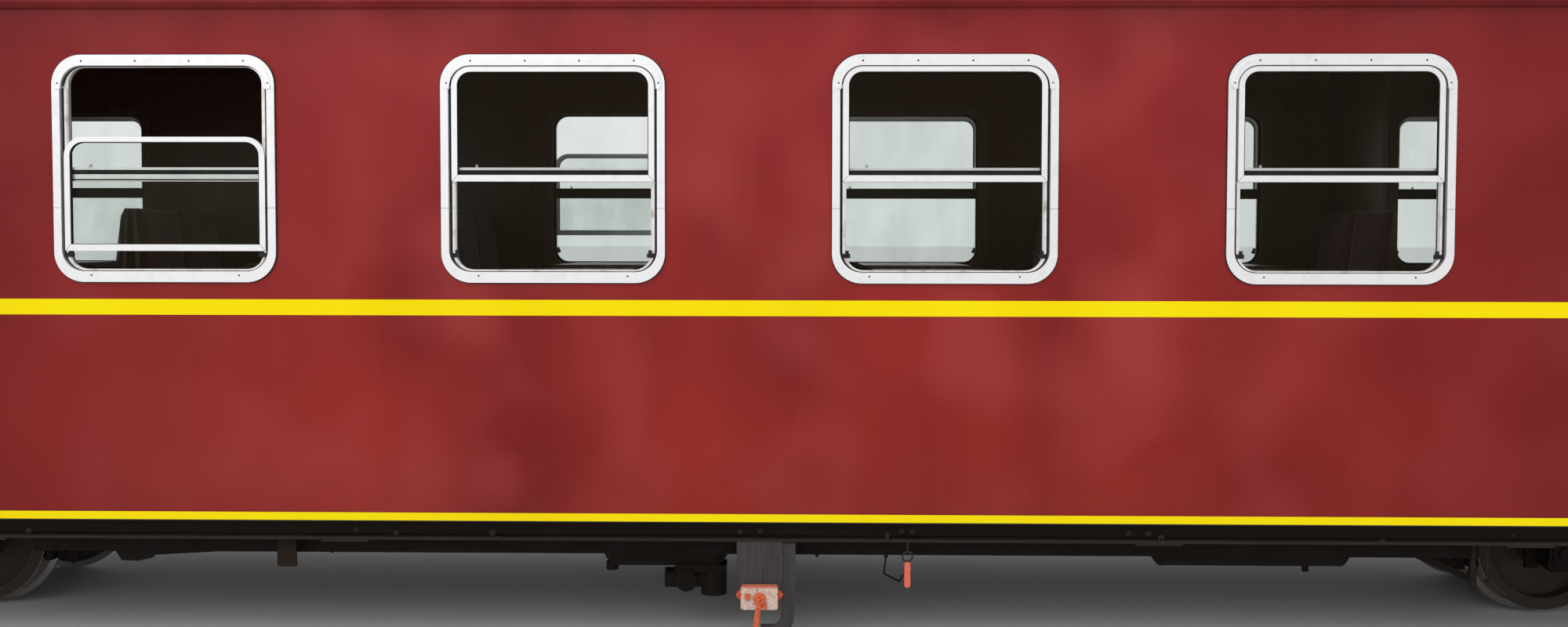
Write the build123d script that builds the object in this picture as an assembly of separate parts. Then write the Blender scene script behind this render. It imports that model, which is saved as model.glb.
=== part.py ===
from build123d import *
import math
import os

os.makedirs("parts", exist_ok=True)

# A dining coach for a 750 mm gauge railway: a steel body on two four-wheel bogies,
# with an open platform at each end. Millimetres. X runs along the coach, -Y is the
# side seen in the photograph and Z is up. Z = 0 is the bottom of the wheel flanges.

# Driving dimensions
LENGTH_OVER_COUPLERS = 14600
PIVOT_DISTANCE = 9000
WHEELBASE = 1300
GAUGE = 750
TREAD_RADIUS = 325
FLANGE_HEIGHT = 26
BODY_WIDTH = 2400
WALL_THICKNESS = 60
SALOON_LENGTH = 12200
FRAME_LENGTH = 13900
SKIRT_BOTTOM = 592
FLOOR_TOP = 940
FLOOR_THICKNESS = 50
WALL_TOP = 2861
ROOF_TOP = 3310
WINDOW_PITCH = 1700
WINDOW_CENTRE_HEIGHT = 2138
RUNNING_CLEARANCE = 0.05

# Places worked out from them
HALF_LENGTH = LENGTH_OVER_COUPLERS / 2
HALF_SALOON = SALOON_LENGTH / 2
HALF_FRAME = FRAME_LENGTH / 2
HALF_WIDTH = BODY_WIDTH / 2
INNER_WIDTH = HALF_WIDTH - WALL_THICKNESS
INNER_SALOON = HALF_SALOON - WALL_THICKNESS
PIVOT_X = PIVOT_DISTANCE / 2
AXLE_Z = TREAD_RADIUS + FLANGE_HEIGHT
FLANGE_RADIUS = TREAD_RADIUS + FLANGE_HEIGHT
FLOOR_BOTTOM = FLOOR_TOP - FLOOR_THICKNESS
WINDOW_PLACES = [WINDOW_PITCH * (n - 2.5) for n in range(6)]
END_BAY_X = 5560


def block(x, y, z):
    """A box given by its X, Y and Z ranges."""
    centre = Pos((x[0] + x[1]) / 2, (y[0] + y[1]) / 2, (z[0] + z[1]) / 2)
    return centre * Box(x[1] - x[0], y[1] - y[0], z[1] - z[0])


def across(sketch, y_from, y_to):
    """A prism whose section is drawn in X and Z and which runs across the coach."""
    plane = Plane(origin=(0, y_to, 0), x_dir=(1, 0, 0), z_dir=(0, -1, 0))
    return extrude(plane * sketch, y_to - y_from, dir=plane.z_dir)


def along(sketch, x_from, x_to):
    """A prism whose section is drawn in Y and Z and which runs along the coach."""
    plane = Plane(origin=(x_from, 0, 0), x_dir=(0, 1, 0), z_dir=(1, 0, 0))
    return extrude(plane * sketch, x_to - x_from, dir=plane.z_dir)


def upright(sketch, z_from, z_to):
    """A prism whose section is drawn in X and Y and which stands up."""
    return Pos(0, 0, z_from) * extrude(sketch, z_to - z_from, dir=(0, 0, 1))


def outline(*points):
    """A closed outline through corner points."""
    return Polygon(*points, align=None)


def rod_across(x, z, radius, y_from, y_to):
    return across(Pos(x, z) * Circle(radius), y_from, y_to)


def rod_along(y, z, radius, x_from, x_to):
    return along(Pos(y, z) * Circle(radius), x_from, x_to)


def post(x, y, radius, z_from, z_to):
    return upright(Pos(x, y) * Circle(radius), z_from, z_to)


def other_side(shape):
    return mirror(shape, about=Plane.XZ)


def other_end(shape):
    return mirror(shape, about=Plane.YZ)


def turned(shape):
    """The same piece at the diagonally opposite place of the coach."""
    return Rot(0, 0, 180) * shape


def channel(corner, reach, height, web, flange):
    """A channel section: its web stands on the corner and its flanges reach sideways."""
    x, z = corner
    step = math.copysign(web, reach)
    return outline(
        (x, z),
        (x + reach, z),
        (x + reach, z + flange),
        (x + step, z + flange),
        (x + step, z + height - flange),
        (x + reach, z + height - flange),
        (x + reach, z + height),
        (x, z + height),
    )


def save(name, *shapes):
    """Writes one named sub-part, whose pieces stay separate solids."""
    solids = [solid for shape in shapes for solid in shape.solids()]
    part = solids[0] if len(solids) == 1 else Compound(children=solids)
    export_step(part, f"parts/{name}.step")


# Side walls: steel sheet outside and wood lining inside, one thickness down to the
# floor. Below the floor only the outer sheet hangs on as a skirt.
WINDOW_WIDTH = 975
WINDOW_HEIGHT = 989
WINDOW_RADIUS = 130
FRAME_LAP = 20
SMALL_WINDOW_WIDTH = 500
SKIRT_THICKNESS = 8


def window_hole(x, width):
    """The rounded opening in the wall, smaller than the frame that laps over it."""
    hole = RectangleRounded(
        width - 2 * FRAME_LAP, WINDOW_HEIGHT - 2 * FRAME_LAP, WINDOW_RADIUS - FRAME_LAP
    )
    return Pos(x, WINDOW_CENTRE_HEIGHT) * hole


wall_section = outline(
    (-HALF_WIDTH, SKIRT_BOTTOM),
    (-HALF_WIDTH + SKIRT_THICKNESS, SKIRT_BOTTOM),
    (-HALF_WIDTH + SKIRT_THICKNESS, FLOOR_BOTTOM),
    (-INNER_WIDTH, FLOOR_BOTTOM),
    (-INNER_WIDTH, WALL_TOP),
    (-HALF_WIDTH, WALL_TOP),
)
side_wall = along(wall_section, -HALF_SALOON, HALF_SALOON)
window_holes = [window_hole(x, WINDOW_WIDTH) for x in WINDOW_PLACES]
window_holes += [window_hole(x, SMALL_WINDOW_WIDTH) for x in (-END_BAY_X, END_BAY_X)]
for hole in window_holes:
    side_wall -= across(hole, -HALF_WIDTH - 1, -INNER_WIDTH + 1)
save("side_wall_near", side_wall)
save("side_wall_far", other_side(side_wall))

# Windows: an aluminium frame with a stepped guide channel, a fixed lower pane with a
# top rail, and an upper sash with round top corners that slides down in front of it.
# One sash of the near side and one of the far side are pulled down.
FRAME_PROUD = 12
CHANNEL_DEPTH = 10
SLEEVE_DEPTH = 30
CHANNEL_SIDE = 34
CHANNEL_TOP = 47
OPENING_SIDE = 62
OPENING_TOP = 52
OPENING_FOOT = 57
SASH_WIDTH = 882
SASH_HEIGHT = 497
SASH_RADIUS = 85
SASH_TOP = 443
SASH_SIDE_BAND = 25
SASH_TOP_BAND = 22
SASH_FOOT_BAND = 28
SASH_BACK = 8
SASH_THICKNESS = 18
NEAR_DROPS = {1: 304}
FAR_DROPS = {2: 225}
RAIL_TOP = 7
RAIL_FOOT = -54
RAIL_DEPTHS = (12, 30)
RAIL_GROOVES = ((-22, -10), (-50, -44))
GROOVE_DEPTH = 5
CHANNEL_RADIUS = 96
OPENING_RADIUS = 75
LOW_PANE_DEPTH = 18
PANE_THICKNESS = 6
outer_face = -HALF_WIDTH


def window_ring(width, side, top, radius):
    """The rounded rectangle a given way inside the frame's outline."""
    return RectangleRounded(width - 2 * side, WINDOW_HEIGHT - 2 * top, radius)


def window_opening(width):
    """The clear opening of a frame, a little nearer to its top than to its foot."""
    tall = WINDOW_HEIGHT - OPENING_TOP - OPENING_FOOT
    opening = RectangleRounded(width - 2 * OPENING_SIDE, tall, OPENING_RADIUS)
    return Pos(0, (OPENING_FOOT - OPENING_TOP) / 2) * opening


def window_frame(x, width, rail):
    """One frame: a lip on the wall, a channel for the sash and a sleeve in the hole."""
    lip = window_ring(width, 0, 0, WINDOW_RADIUS)
    body = window_ring(width, FRAME_LAP, FRAME_LAP, WINDOW_RADIUS - FRAME_LAP)
    channel_edge = window_ring(width, CHANNEL_SIDE, CHANNEL_TOP, CHANNEL_RADIUS)
    opening = window_opening(width)
    frame = across(lip, outer_face - FRAME_PROUD, outer_face)
    frame += across(body, outer_face, outer_face + SLEEVE_DEPTH)
    frame -= across(channel_edge, outer_face - FRAME_PROUD, outer_face + CHANNEL_DEPTH)
    frame -= across(opening, outer_face, outer_face + SLEEVE_DEPTH)
    if rail:
        half = width / 2 - OPENING_SIDE
        rail_y = [outer_face + depth for depth in RAIL_DEPTHS]
        bar = block((-half, half), rail_y, (RAIL_FOOT, RAIL_TOP))
        for groove in RAIL_GROOVES:
            bar -= block((-half, half), (rail_y[0], rail_y[0] + GROOVE_DEPTH), groove)
        frame += bar
    return Pos(x, 0, WINDOW_CENTRE_HEIGHT) * frame


def sash_ring():
    """The sash's outline: round corners at the top and mitred square ones below."""
    half = SASH_WIDTH / 2
    foot = SASH_TOP - SASH_HEIGHT
    outer = outline((-half, foot), (half, foot), (half, SASH_TOP), (-half, SASH_TOP))
    inner = outline(
        (-half + SASH_SIDE_BAND, foot + SASH_FOOT_BAND),
        (half - SASH_SIDE_BAND, foot + SASH_FOOT_BAND),
        (half - SASH_SIDE_BAND, SASH_TOP - SASH_TOP_BAND),
        (-half + SASH_SIDE_BAND, SASH_TOP - SASH_TOP_BAND),
    )
    outer = fillet(outer.vertices().sort_by(Axis.Y)[-2:], SASH_RADIUS)
    inner = fillet(inner.vertices().sort_by(Axis.Y)[-2:], SASH_RADIUS - SASH_SIDE_BAND)
    return outer, inner


sash_outer, sash_inner = sash_ring()
sash_front = outer_face - SASH_BACK
sash = across(sash_outer - sash_inner, sash_front, sash_front + SASH_THICKNESS)
pane_front = sash_front + SASH_THICKNESS / 2
sash_pane = across(sash_inner, pane_front, pane_front + PANE_THICKNESS)
low_pane_y = (outer_face + LOW_PANE_DEPTH, outer_face + LOW_PANE_DEPTH + PANE_THICKNESS)
below_rail = Pos(0, RAIL_FOOT - WINDOW_HEIGHT / 2) * Rectangle(WINDOW_WIDTH, WINDOW_HEIGHT)
low_pane = across(window_opening(WINDOW_WIDTH) & below_rail, *low_pane_y)
small_pane = across(window_opening(SMALL_WINDOW_WIDTH), *low_pane_y)

frames = [window_frame(x, WINDOW_WIDTH, True) for x in WINDOW_PLACES]
frames += [window_frame(x, SMALL_WINDOW_WIDTH, False) for x in (-END_BAY_X, END_BAY_X)]


def sashes_and_panes(drops):
    """The sashes and panes of one side; drops says how far each lowered sash is down."""
    sashes, panes = [], []
    for index, x in enumerate(WINDOW_PLACES):
        place = Pos(x, 0, WINDOW_CENTRE_HEIGHT - drops.get(index, 0))
        sashes.append(place * sash)
        panes.append(place * sash_pane)
        panes.append(Pos(x, 0, WINDOW_CENTRE_HEIGHT) * low_pane)
    for x in (-END_BAY_X, END_BAY_X):
        panes.append(Pos(x, 0, WINDOW_CENTRE_HEIGHT) * small_pane)
    return sashes, panes


near_sashes, near_panes = sashes_and_panes(NEAR_DROPS)
far_sashes, far_panes = sashes_and_panes(FAR_DROPS)
save("window_frames", *frames, *[other_side(frame) for frame in frames])
save("window_sashes", *near_sashes, *[other_side(piece) for piece in far_sashes])
side_panes = near_panes + [other_side(pane) for pane in far_panes]

# Roof: a barrel shell on the side walls that also covers both platforms, closed at
# each end by an arched valance.
ROOF_HALF_WIDTH = 1215
ROOF_CROWN_THICKNESS = 48
ROOF_OVERHANG = 30
VALANCE_THICKNESS = 20
VALANCE_DEPTH = 150
roof_inner_top = ROOF_TOP - ROOF_CROWN_THICKNESS


def arched(half_width, top, foot):
    """A flat-bottomed shape under an arc that springs from the wall's top."""
    arc = ThreePointArc((half_width, WALL_TOP), (0, top), (-half_width, WALL_TOP))
    left = Line((-half_width, WALL_TOP), (-half_width, foot))
    base = Line((-half_width, foot), (half_width, foot))
    right = Line((half_width, foot), (half_width, WALL_TOP))
    return make_face([arc, left, base, right])


def segment(half_width, top):
    arc = ThreePointArc((half_width, WALL_TOP), (0, top), (-half_width, WALL_TOP))
    return make_face([arc, Line((-half_width, WALL_TOP), (half_width, WALL_TOP))])


half_roof = HALF_FRAME + ROOF_OVERHANG
shell_section = segment(ROOF_HALF_WIDTH, ROOF_TOP) - segment(INNER_WIDTH, roof_inner_top)
roof = along(shell_section, -half_roof, half_roof)
valance_section = segment(INNER_WIDTH, roof_inner_top) - segment(
    INNER_WIDTH - VALANCE_DEPTH, roof_inner_top - VALANCE_DEPTH
)
valance = along(valance_section, half_roof - VALANCE_THICKNESS, half_roof)
roof = roof + valance + other_end(valance)
save("roof", roof)

# Rain gutters along both eaves, a small channel of folded sheet.
GUTTER_HEIGHT = 26
GUTTER_WIDTH = 22
gutter_section = outline(
    (-ROOF_HALF_WIDTH, WALL_TOP - GUTTER_HEIGHT),
    (-HALF_WIDTH, WALL_TOP - GUTTER_HEIGHT),
    (-HALF_WIDTH, WALL_TOP),
    (-ROOF_HALF_WIDTH, WALL_TOP),
    (-ROOF_HALF_WIDTH, WALL_TOP + 10),
    (-ROOF_HALF_WIDTH - GUTTER_WIDTH, WALL_TOP + 10),
    (-ROOF_HALF_WIDTH - GUTTER_WIDTH, WALL_TOP - 6),
)
gutter = along(gutter_section, -HALF_SALOON, HALF_SALOON)
save("gutters", gutter, other_side(gutter))

# Roof ventilators: round caps on short necks along the middle of the roof.
VENTILATOR_PLACES = (-4250, -2550, -850, 850, 2550, 4250)
VENTILATOR_TOP = 3420
ventilator_profile = make_face(
    Polyline(
        (0, ROOF_TOP),
        (75, ROOF_TOP),
        (75, ROOF_TOP + 40),
        (140, ROOF_TOP + 46),
        (140, ROOF_TOP + 72),
        (60, VENTILATOR_TOP),
        (0, VENTILATOR_TOP),
        close=True,
    )
)
ventilator = revolve(Plane.XZ * ventilator_profile, Axis.Z)
save("roof_ventilators", *[Pos(x, 0, 0) * ventilator for x in VENTILATOR_PLACES])

# End walls with a middle doorway and a fixed window on each side of it. They carry the
# knuckles and pins of the door's hinges, and the pintles that the gates turn on.
DOORWAY_HALF_WIDTH = 360
DOORWAY_TOP = 2840
END_WINDOW_Y = 740
END_WINDOW_WIDTH = 440
END_WINDOW_HEIGHT = 800
END_WINDOW_Z = 2180
DOOR_AXIS = (INNER_SALOON - 2, 350)
DOOR_HINGES_Z = (1250, 1900, 2550)
HINGE_RADIUS = 7
HINGE_PIN_RADIUS = 4
HINGE_HALF = 30
HINGE_PIN_HALF = 52
HINGE_LEAF = 6
HINGE_GAP = 0.5
GATE_AXIS = (6125, -1146)
GATE_HINGES_Z = (FLOOR_TOP + 150, FLOOR_TOP + 870)
GATE_KNUCKLE_RADIUS = 11
GATE_KNUCKLE_HALF = 25
GATE_PIN_RADIUS = 6
PINTLE_ARM = 9
PINTLE_HALF = 7
PINTLE_REACH = 8
PINTLE_PLATE = 6
PINTLE_PLATE_INNER_Y = -1100
PINTLE_PLATE_RISE = (-60, 5)
LEAF_OUTER_Y = 392
LEAF_INNER_Y = 300
end_wall_section = arched(INNER_WIDTH, roof_inner_top, FLOOR_TOP)
end_wall_section -= outline(
    (-DOORWAY_HALF_WIDTH, FLOOR_TOP),
    (DOORWAY_HALF_WIDTH, FLOOR_TOP),
    (DOORWAY_HALF_WIDTH, DOORWAY_TOP),
    (-DOORWAY_HALF_WIDTH, DOORWAY_TOP),
)
end_window = RectangleRounded(END_WINDOW_WIDTH, END_WINDOW_HEIGHT, 60)
end_windows = [Pos(y, END_WINDOW_Z) * end_window for y in (-END_WINDOW_Y, END_WINDOW_Y)]
for shape in end_windows:
    end_wall_section -= shape
end_wall = along(end_wall_section, INNER_SALOON, HALF_SALOON)
for z in DOOR_HINGES_Z:
    for way in (-1, 1):
        knuckle_z = sorted((z + way * (HINGE_HALF + HINGE_GAP), z + way * HINGE_PIN_HALF))
        end_wall += post(*DOOR_AXIS, HINGE_RADIUS, *knuckle_z)
        leaf_y = (DOOR_AXIS[1], LEAF_OUTER_Y)
        end_wall += block((INNER_SALOON - HINGE_LEAF, INNER_SALOON), leaf_y, knuckle_z)
    end_wall += post(*DOOR_AXIS, HINGE_PIN_RADIUS, z - HINGE_PIN_HALF, z + HINGE_PIN_HALF)
for z in GATE_HINGES_Z:
    arm_z = (z - GATE_KNUCKLE_HALF - PINTLE_ARM, z - GATE_KNUCKLE_HALF - HINGE_GAP)
    arm_y = (GATE_AXIS[1] - PINTLE_HALF, GATE_AXIS[1] + PINTLE_HALF)
    plate_z = (z + PINTLE_PLATE_RISE[0], z + PINTLE_PLATE_RISE[1])
    pintle = block((HALF_SALOON, GATE_AXIS[0] + PINTLE_REACH), arm_y, arm_z)
    pintle += block(
        (HALF_SALOON, HALF_SALOON + PINTLE_PLATE), (arm_y[0], PINTLE_PLATE_INNER_Y), plate_z
    )
    pintle += post(*GATE_AXIS, GATE_PIN_RADIUS, arm_z[0], z + GATE_KNUCKLE_HALF + PINTLE_PLATE)
    end_wall += pintle + other_side(pintle)
end_panes = [along(shape, HALF_SALOON - 20, HALF_SALOON - 14) for shape in end_windows]
save("end_walls", end_wall, other_end(end_wall))
save("window_panes", *side_panes, *end_panes, *[other_end(pane) for pane in end_panes])

# End doors, hung on the inner edge of the doorway and opening into the coach.
DOOR_GAP = 8
DOOR_BACK = INNER_SALOON + 10
DOOR_THICKNESS = 40
door_half = DOORWAY_HALF_WIDTH - DOOR_GAP
door_shape = Pos(0, (FLOOR_TOP + DOORWAY_TOP) / 2) * Rectangle(
    2 * door_half, DOORWAY_TOP - FLOOR_TOP - 2 * DOOR_GAP
)
door_window = Pos(0, END_WINDOW_Z) * RectangleRounded(440, 800, 60)
door = along(door_shape - door_window, DOOR_BACK, DOOR_BACK + DOOR_THICKNESS)
door_pane = along(door_window, DOOR_BACK + 16, DOOR_BACK + 22)
handle_neck = rod_along(-door_half + 60, 1990, 8, DOOR_BACK + DOOR_THICKNESS, HALF_SALOON + 35)
handle_grip = block(
    (HALF_SALOON + 25, HALF_SALOON + 43),
    (-door_half + 50, -door_half + 170),
    (1981, 1999),
)
door = door + handle_neck + handle_grip
for z in DOOR_HINGES_Z:
    hinge_z = (z - HINGE_HALF, z + HINGE_HALF)
    door += post(*DOOR_AXIS, HINGE_RADIUS, *hinge_z)
    door += block((DOOR_BACK - HINGE_LEAF, DOOR_BACK), (LEAF_INNER_Y, door_half), hinge_z)
    door -= post(*DOOR_AXIS, HINGE_PIN_RADIUS + RUNNING_CLEARANCE, *hinge_z)
save("end_door_front", door)
save("end_door_rear", other_end(door))
save("end_door_pane_front", door_pane)
save("end_door_pane_rear", other_end(door_pane))

# Floor of the saloon.
floor = block((-HALF_SALOON, HALF_SALOON), (-INNER_WIDTH, INNER_WIDTH), (FLOOR_BOTTOM, FLOOR_TOP))
save("floor", floor)

# Partitions: a wall with an opening beside the galley, and a room on each side of the
# gangway at each end of the coach.
PARTITION_X = 3400
PARTITION_THICKNESS = 30
GANGWAY_HALF = 400
VESTIBULE_X = 5100


def partition(x, opening_half):
    section = arched(INNER_WIDTH, roof_inner_top, FLOOR_TOP)
    section -= outline(
        (-opening_half, FLOOR_TOP),
        (opening_half, FLOOR_TOP),
        (opening_half, DOORWAY_TOP),
        (-opening_half, DOORWAY_TOP),
    )
    return along(section, x, x + PARTITION_THICKNESS)


gangway_wall = block(
    (VESTIBULE_X + PARTITION_THICKNESS, INNER_SALOON),
    (GANGWAY_HALF, GANGWAY_HALF + PARTITION_THICKNESS),
    (FLOOR_TOP, DOORWAY_TOP),
)
end_room = partition(VESTIBULE_X, GANGWAY_HALF) + gangway_wall + other_side(gangway_wall)
save("partitions", partition(PARTITION_X, GANGWAY_HALF), end_room, other_end(end_room))

# Galley fittings: a counter along the near wall and a tall cupboard by the far wall.
COUNTER_HEIGHT = 900
counter_x = (PARTITION_X + PARTITION_THICKNESS, VESTIBULE_X)
counter = block(counter_x, (-INNER_WIDTH, -560), (FLOOR_TOP, FLOOR_TOP + COUNTER_HEIGHT - 40))
counter_top = block(
    counter_x, (-INNER_WIDTH, -530), (FLOOR_TOP + COUNTER_HEIGHT - 40, FLOOR_TOP + COUNTER_HEIGHT)
)
cupboard = block(
    (counter_x[1] - 600, counter_x[1]), (560, INNER_WIDTH), (FLOOR_TOP, FLOOR_TOP + 1750)
)
save("galley_fittings", counter + counter_top, cupboard)

# Seats: upholstered benches that face each other over the tables, single ones by the
# near wall and double ones by the far wall, with their backs to the window pillars.
SEAT_BAYS = WINDOW_PLACES[:5]
SEAT_HEIGHT = 440
SEAT_DEPTH = 450
BACK_TOP = 1060
BACK_FOOT_X = 800
BACK_TOP_X = 840
SEAT_FRONT_X = BACK_FOOT_X - SEAT_DEPTH
NEAR_SEAT_Y = (-INNER_WIDTH + 5, -INNER_WIDTH + 505)
FAR_SEAT_Y = (INNER_WIDTH - 965, INNER_WIDTH - 5)
seat_profile = outline(
    (SEAT_FRONT_X + 40, FLOOR_TOP),
    (SEAT_FRONT_X + 110, FLOOR_TOP),
    (SEAT_FRONT_X + 110, FLOOR_TOP + SEAT_HEIGHT - 110),
    (BACK_FOOT_X - 60, FLOOR_TOP + SEAT_HEIGHT - 110),
    (BACK_FOOT_X - 60, FLOOR_TOP),
    (BACK_FOOT_X, FLOOR_TOP),
    (BACK_TOP_X, FLOOR_TOP + BACK_TOP),
    (BACK_TOP_X - 50, FLOOR_TOP + BACK_TOP),
    (BACK_FOOT_X - 90, FLOOR_TOP + SEAT_HEIGHT),
    (SEAT_FRONT_X, FLOOR_TOP + SEAT_HEIGHT),
    (SEAT_FRONT_X, FLOOR_TOP + SEAT_HEIGHT - 110),
    (SEAT_FRONT_X + 40, FLOOR_TOP + SEAT_HEIGHT - 110),
)


def seats(y_range):
    """A pair of facing benches in every bay of one side."""
    bench = across(seat_profile, *y_range)
    pair = [bench, other_end(bench)]
    return [Pos(x, 0, 0) * one for x in SEAT_BAYS for one in pair]


save("seats", *seats(NEAR_SEAT_Y), *seats(FAR_SEAT_Y))

# Tables: a top under each window, on a wall batten and one leg by the gangway.
TABLE_TOP = 1695
TABLE_THICKNESS = 28
TABLE_HALF = 290
LEG_HALF = 30


def tables(wall_y, reach):
    """The tables of one side; reach is how far a top stands out from the wall."""
    side = 1 if wall_y > 0 else -1
    edge = wall_y - side * reach
    top_y = sorted((wall_y, edge))
    leg_y = sorted((edge + side * 60, edge + side * 120))
    top = upright(
        Pos(0, sum(top_y) / 2) * RectangleRounded(2 * TABLE_HALF, reach, 40),
        TABLE_TOP - TABLE_THICKNESS,
        TABLE_TOP,
    )
    leg = block((-LEG_HALF, LEG_HALF), leg_y, (FLOOR_TOP, TABLE_TOP - TABLE_THICKNESS))
    return [Pos(x, 0, 0) * (top + leg) for x in SEAT_BAYS]


save("tables", *tables(-INNER_WIDTH, 480), *tables(INNER_WIDTH, 880))

# Centre sills: two channels that run the whole length and carry the draw gear.
SILL_HEIGHT = 160
SILL_Y = (250, 320)
SILL_BOTTOM = FLOOR_BOTTOM - SILL_HEIGHT
SILL_WEB = 9
SILL_FLANGE = 13
HEADSTOCK_THICKNESS = 20
sill_end = HALF_FRAME - HEADSTOCK_THICKNESS
sill_width = SILL_Y[1] - SILL_Y[0]
sill_section = channel((SILL_Y[0], SILL_BOTTOM), sill_width, SILL_HEIGHT, SILL_WEB, SILL_FLANGE)
centre_sill = along(sill_section, -sill_end, sill_end)
save("centre_sills", centre_sill, other_side(centre_sill))

# Cross bearers: pressed channels in three lengths each, between the centre sills and
# out to the solebars, with round holes in the outer webs.
SOLEBAR_BACK = 1105
BEARER_PLACES = (-3220, -1760, 0, 1760, 3220)
BEARER_HALF = 60
BEARER_WEB = 8
BEARER_FLANGE = 10
BEARER_HOLE_RADIUS = 34
BEARER_HOLES_Y = (-950, -720, -490)
bearer_section = channel(
    (-BEARER_HALF, SILL_BOTTOM), 2 * BEARER_HALF, SILL_HEIGHT, BEARER_WEB, BEARER_FLANGE
)
middle_bearer = across(bearer_section, -SILL_Y[0], SILL_Y[0])
outer_bearer = across(bearer_section, -SOLEBAR_BACK, -SILL_Y[1])
bearer_web_x = (-BEARER_HALF - 1, -BEARER_HALF + BEARER_WEB + 1)
for y in BEARER_HOLES_Y:
    outer_bearer -= rod_along(
        y, SILL_BOTTOM + SILL_HEIGHT / 2, BEARER_HOLE_RADIUS, *bearer_web_x
    )
bearer_lengths = [middle_bearer, outer_bearer, other_side(outer_bearer)]
save("cross_bearers", *[Pos(x, 0, 0) * piece for x in BEARER_PLACES for piece in bearer_lengths])

# Body bolsters: a bottom plate that passes under the centre sills, upright webs on it
# and the round centre plate that turns on the bogie.
BOLSTER_HALF = 150
BOLSTER_WEB = 12
BOLSTER_PLATE = 10
CENTRE_PLATE_RADIUS = 170
CENTRE_PLATE_BOTTOM = 712
bolster_foot = SILL_BOTTOM - BOLSTER_PLATE
bolster_x = (-BOLSTER_HALF, BOLSTER_HALF)
body_bolster = block(bolster_x, (-SOLEBAR_BACK, SOLEBAR_BACK), (bolster_foot, SILL_BOTTOM))
web_spans = [(-SOLEBAR_BACK, -SILL_Y[1]), (-SILL_Y[0], SILL_Y[0]), (SILL_Y[1], SOLEBAR_BACK)]
for x in (-BOLSTER_HALF, BOLSTER_HALF - BOLSTER_WEB):
    for span in web_spans:
        body_bolster += block((x, x + BOLSTER_WEB), span, (SILL_BOTTOM, FLOOR_BOTTOM))
body_bolster += post(0, 0, CENTRE_PLATE_RADIUS, CENTRE_PLATE_BOTTOM, bolster_foot)
save("body_bolsters", *[Pos(x, 0, 0) * body_bolster for x in (-PIVOT_X, PIVOT_X)])

# Side beams: light channels that carry the equipment, hung from the cross bearers.
SIDE_BEAM_Y = (-1030, -970)
SIDE_BEAM_Z = (415, 500)
SIDE_BEAM_HALF = 3260
SIDE_BEAM_WEB = 8
SIDE_HANGER_HALF = 35
SIDE_HANGER_Y = (-1010, -998)
beam_section = channel(
    (SIDE_BEAM_Y[0], SIDE_BEAM_Z[0]),
    SIDE_BEAM_Y[1] - SIDE_BEAM_Y[0],
    SIDE_BEAM_Z[1] - SIDE_BEAM_Z[0],
    SIDE_BEAM_WEB,
    SIDE_BEAM_WEB,
)
side_beam = along(beam_section, -SIDE_BEAM_HALF, SIDE_BEAM_HALF)
for x in BEARER_PLACES:
    hanger_x = (x - SIDE_HANGER_HALF, x + SIDE_HANGER_HALF)
    side_beam += block(hanger_x, SIDE_HANGER_Y, (SIDE_BEAM_Z[1], SILL_BOTTOM))
save("side_beams", side_beam, other_side(side_beam))

# Headstocks: end plates with raised lower corners and a mouth for the coupler.
HEADSTOCK_HALF = 1150
HEADSTOCK_FOOT_HALF = 700
HEADSTOCK_BOTTOM = 560
HEADSTOCK_CORNER = 680
COUPLER_Z = 650
COUPLER_MOUTH = (340, 120)
headstock_shape = outline(
    (-HEADSTOCK_HALF, HEADSTOCK_CORNER),
    (-HEADSTOCK_HALF, FLOOR_BOTTOM),
    (HEADSTOCK_HALF, FLOOR_BOTTOM),
    (HEADSTOCK_HALF, HEADSTOCK_CORNER),
    (HEADSTOCK_FOOT_HALF, HEADSTOCK_BOTTOM),
    (-HEADSTOCK_FOOT_HALF, HEADSTOCK_BOTTOM),
)
headstock_shape -= Pos(0, COUPLER_Z) * RectangleRounded(*COUPLER_MOUTH, 30)
headstock = along(headstock_shape, sill_end, HALF_FRAME)
save("headstocks", headstock, other_end(headstock))

# Coupler pockets: yokes under the centre sills, each with the pin that a coupler turns on.
COUPLER_PIVOT_X = 6500
COUPLER_PIN_RADIUS = 25
POCKET_HALF = 80
POCKET_TOP_PLATE = (700, SILL_BOTTOM)
POCKET_LOW_PLATE = (572, 600)
pocket_x = (COUPLER_PIVOT_X - POCKET_HALF, COUPLER_PIVOT_X + POCKET_HALF)
pocket_gap = (POCKET_LOW_PLATE[1], POCKET_TOP_PLATE[0])
pocket = block(pocket_x, (-SILL_Y[1], SILL_Y[1]), POCKET_TOP_PLATE)
pocket += block(pocket_x, (-SILL_Y[1], SILL_Y[1]), POCKET_LOW_PLATE)
pocket_side = block(pocket_x, SILL_Y, pocket_gap)
pocket += pocket_side + other_side(pocket_side)
pocket += post(COUPLER_PIVOT_X, 0, COUPLER_PIN_RADIUS, *pocket_gap)
save("coupler_pockets", pocket, other_end(pocket))

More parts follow.
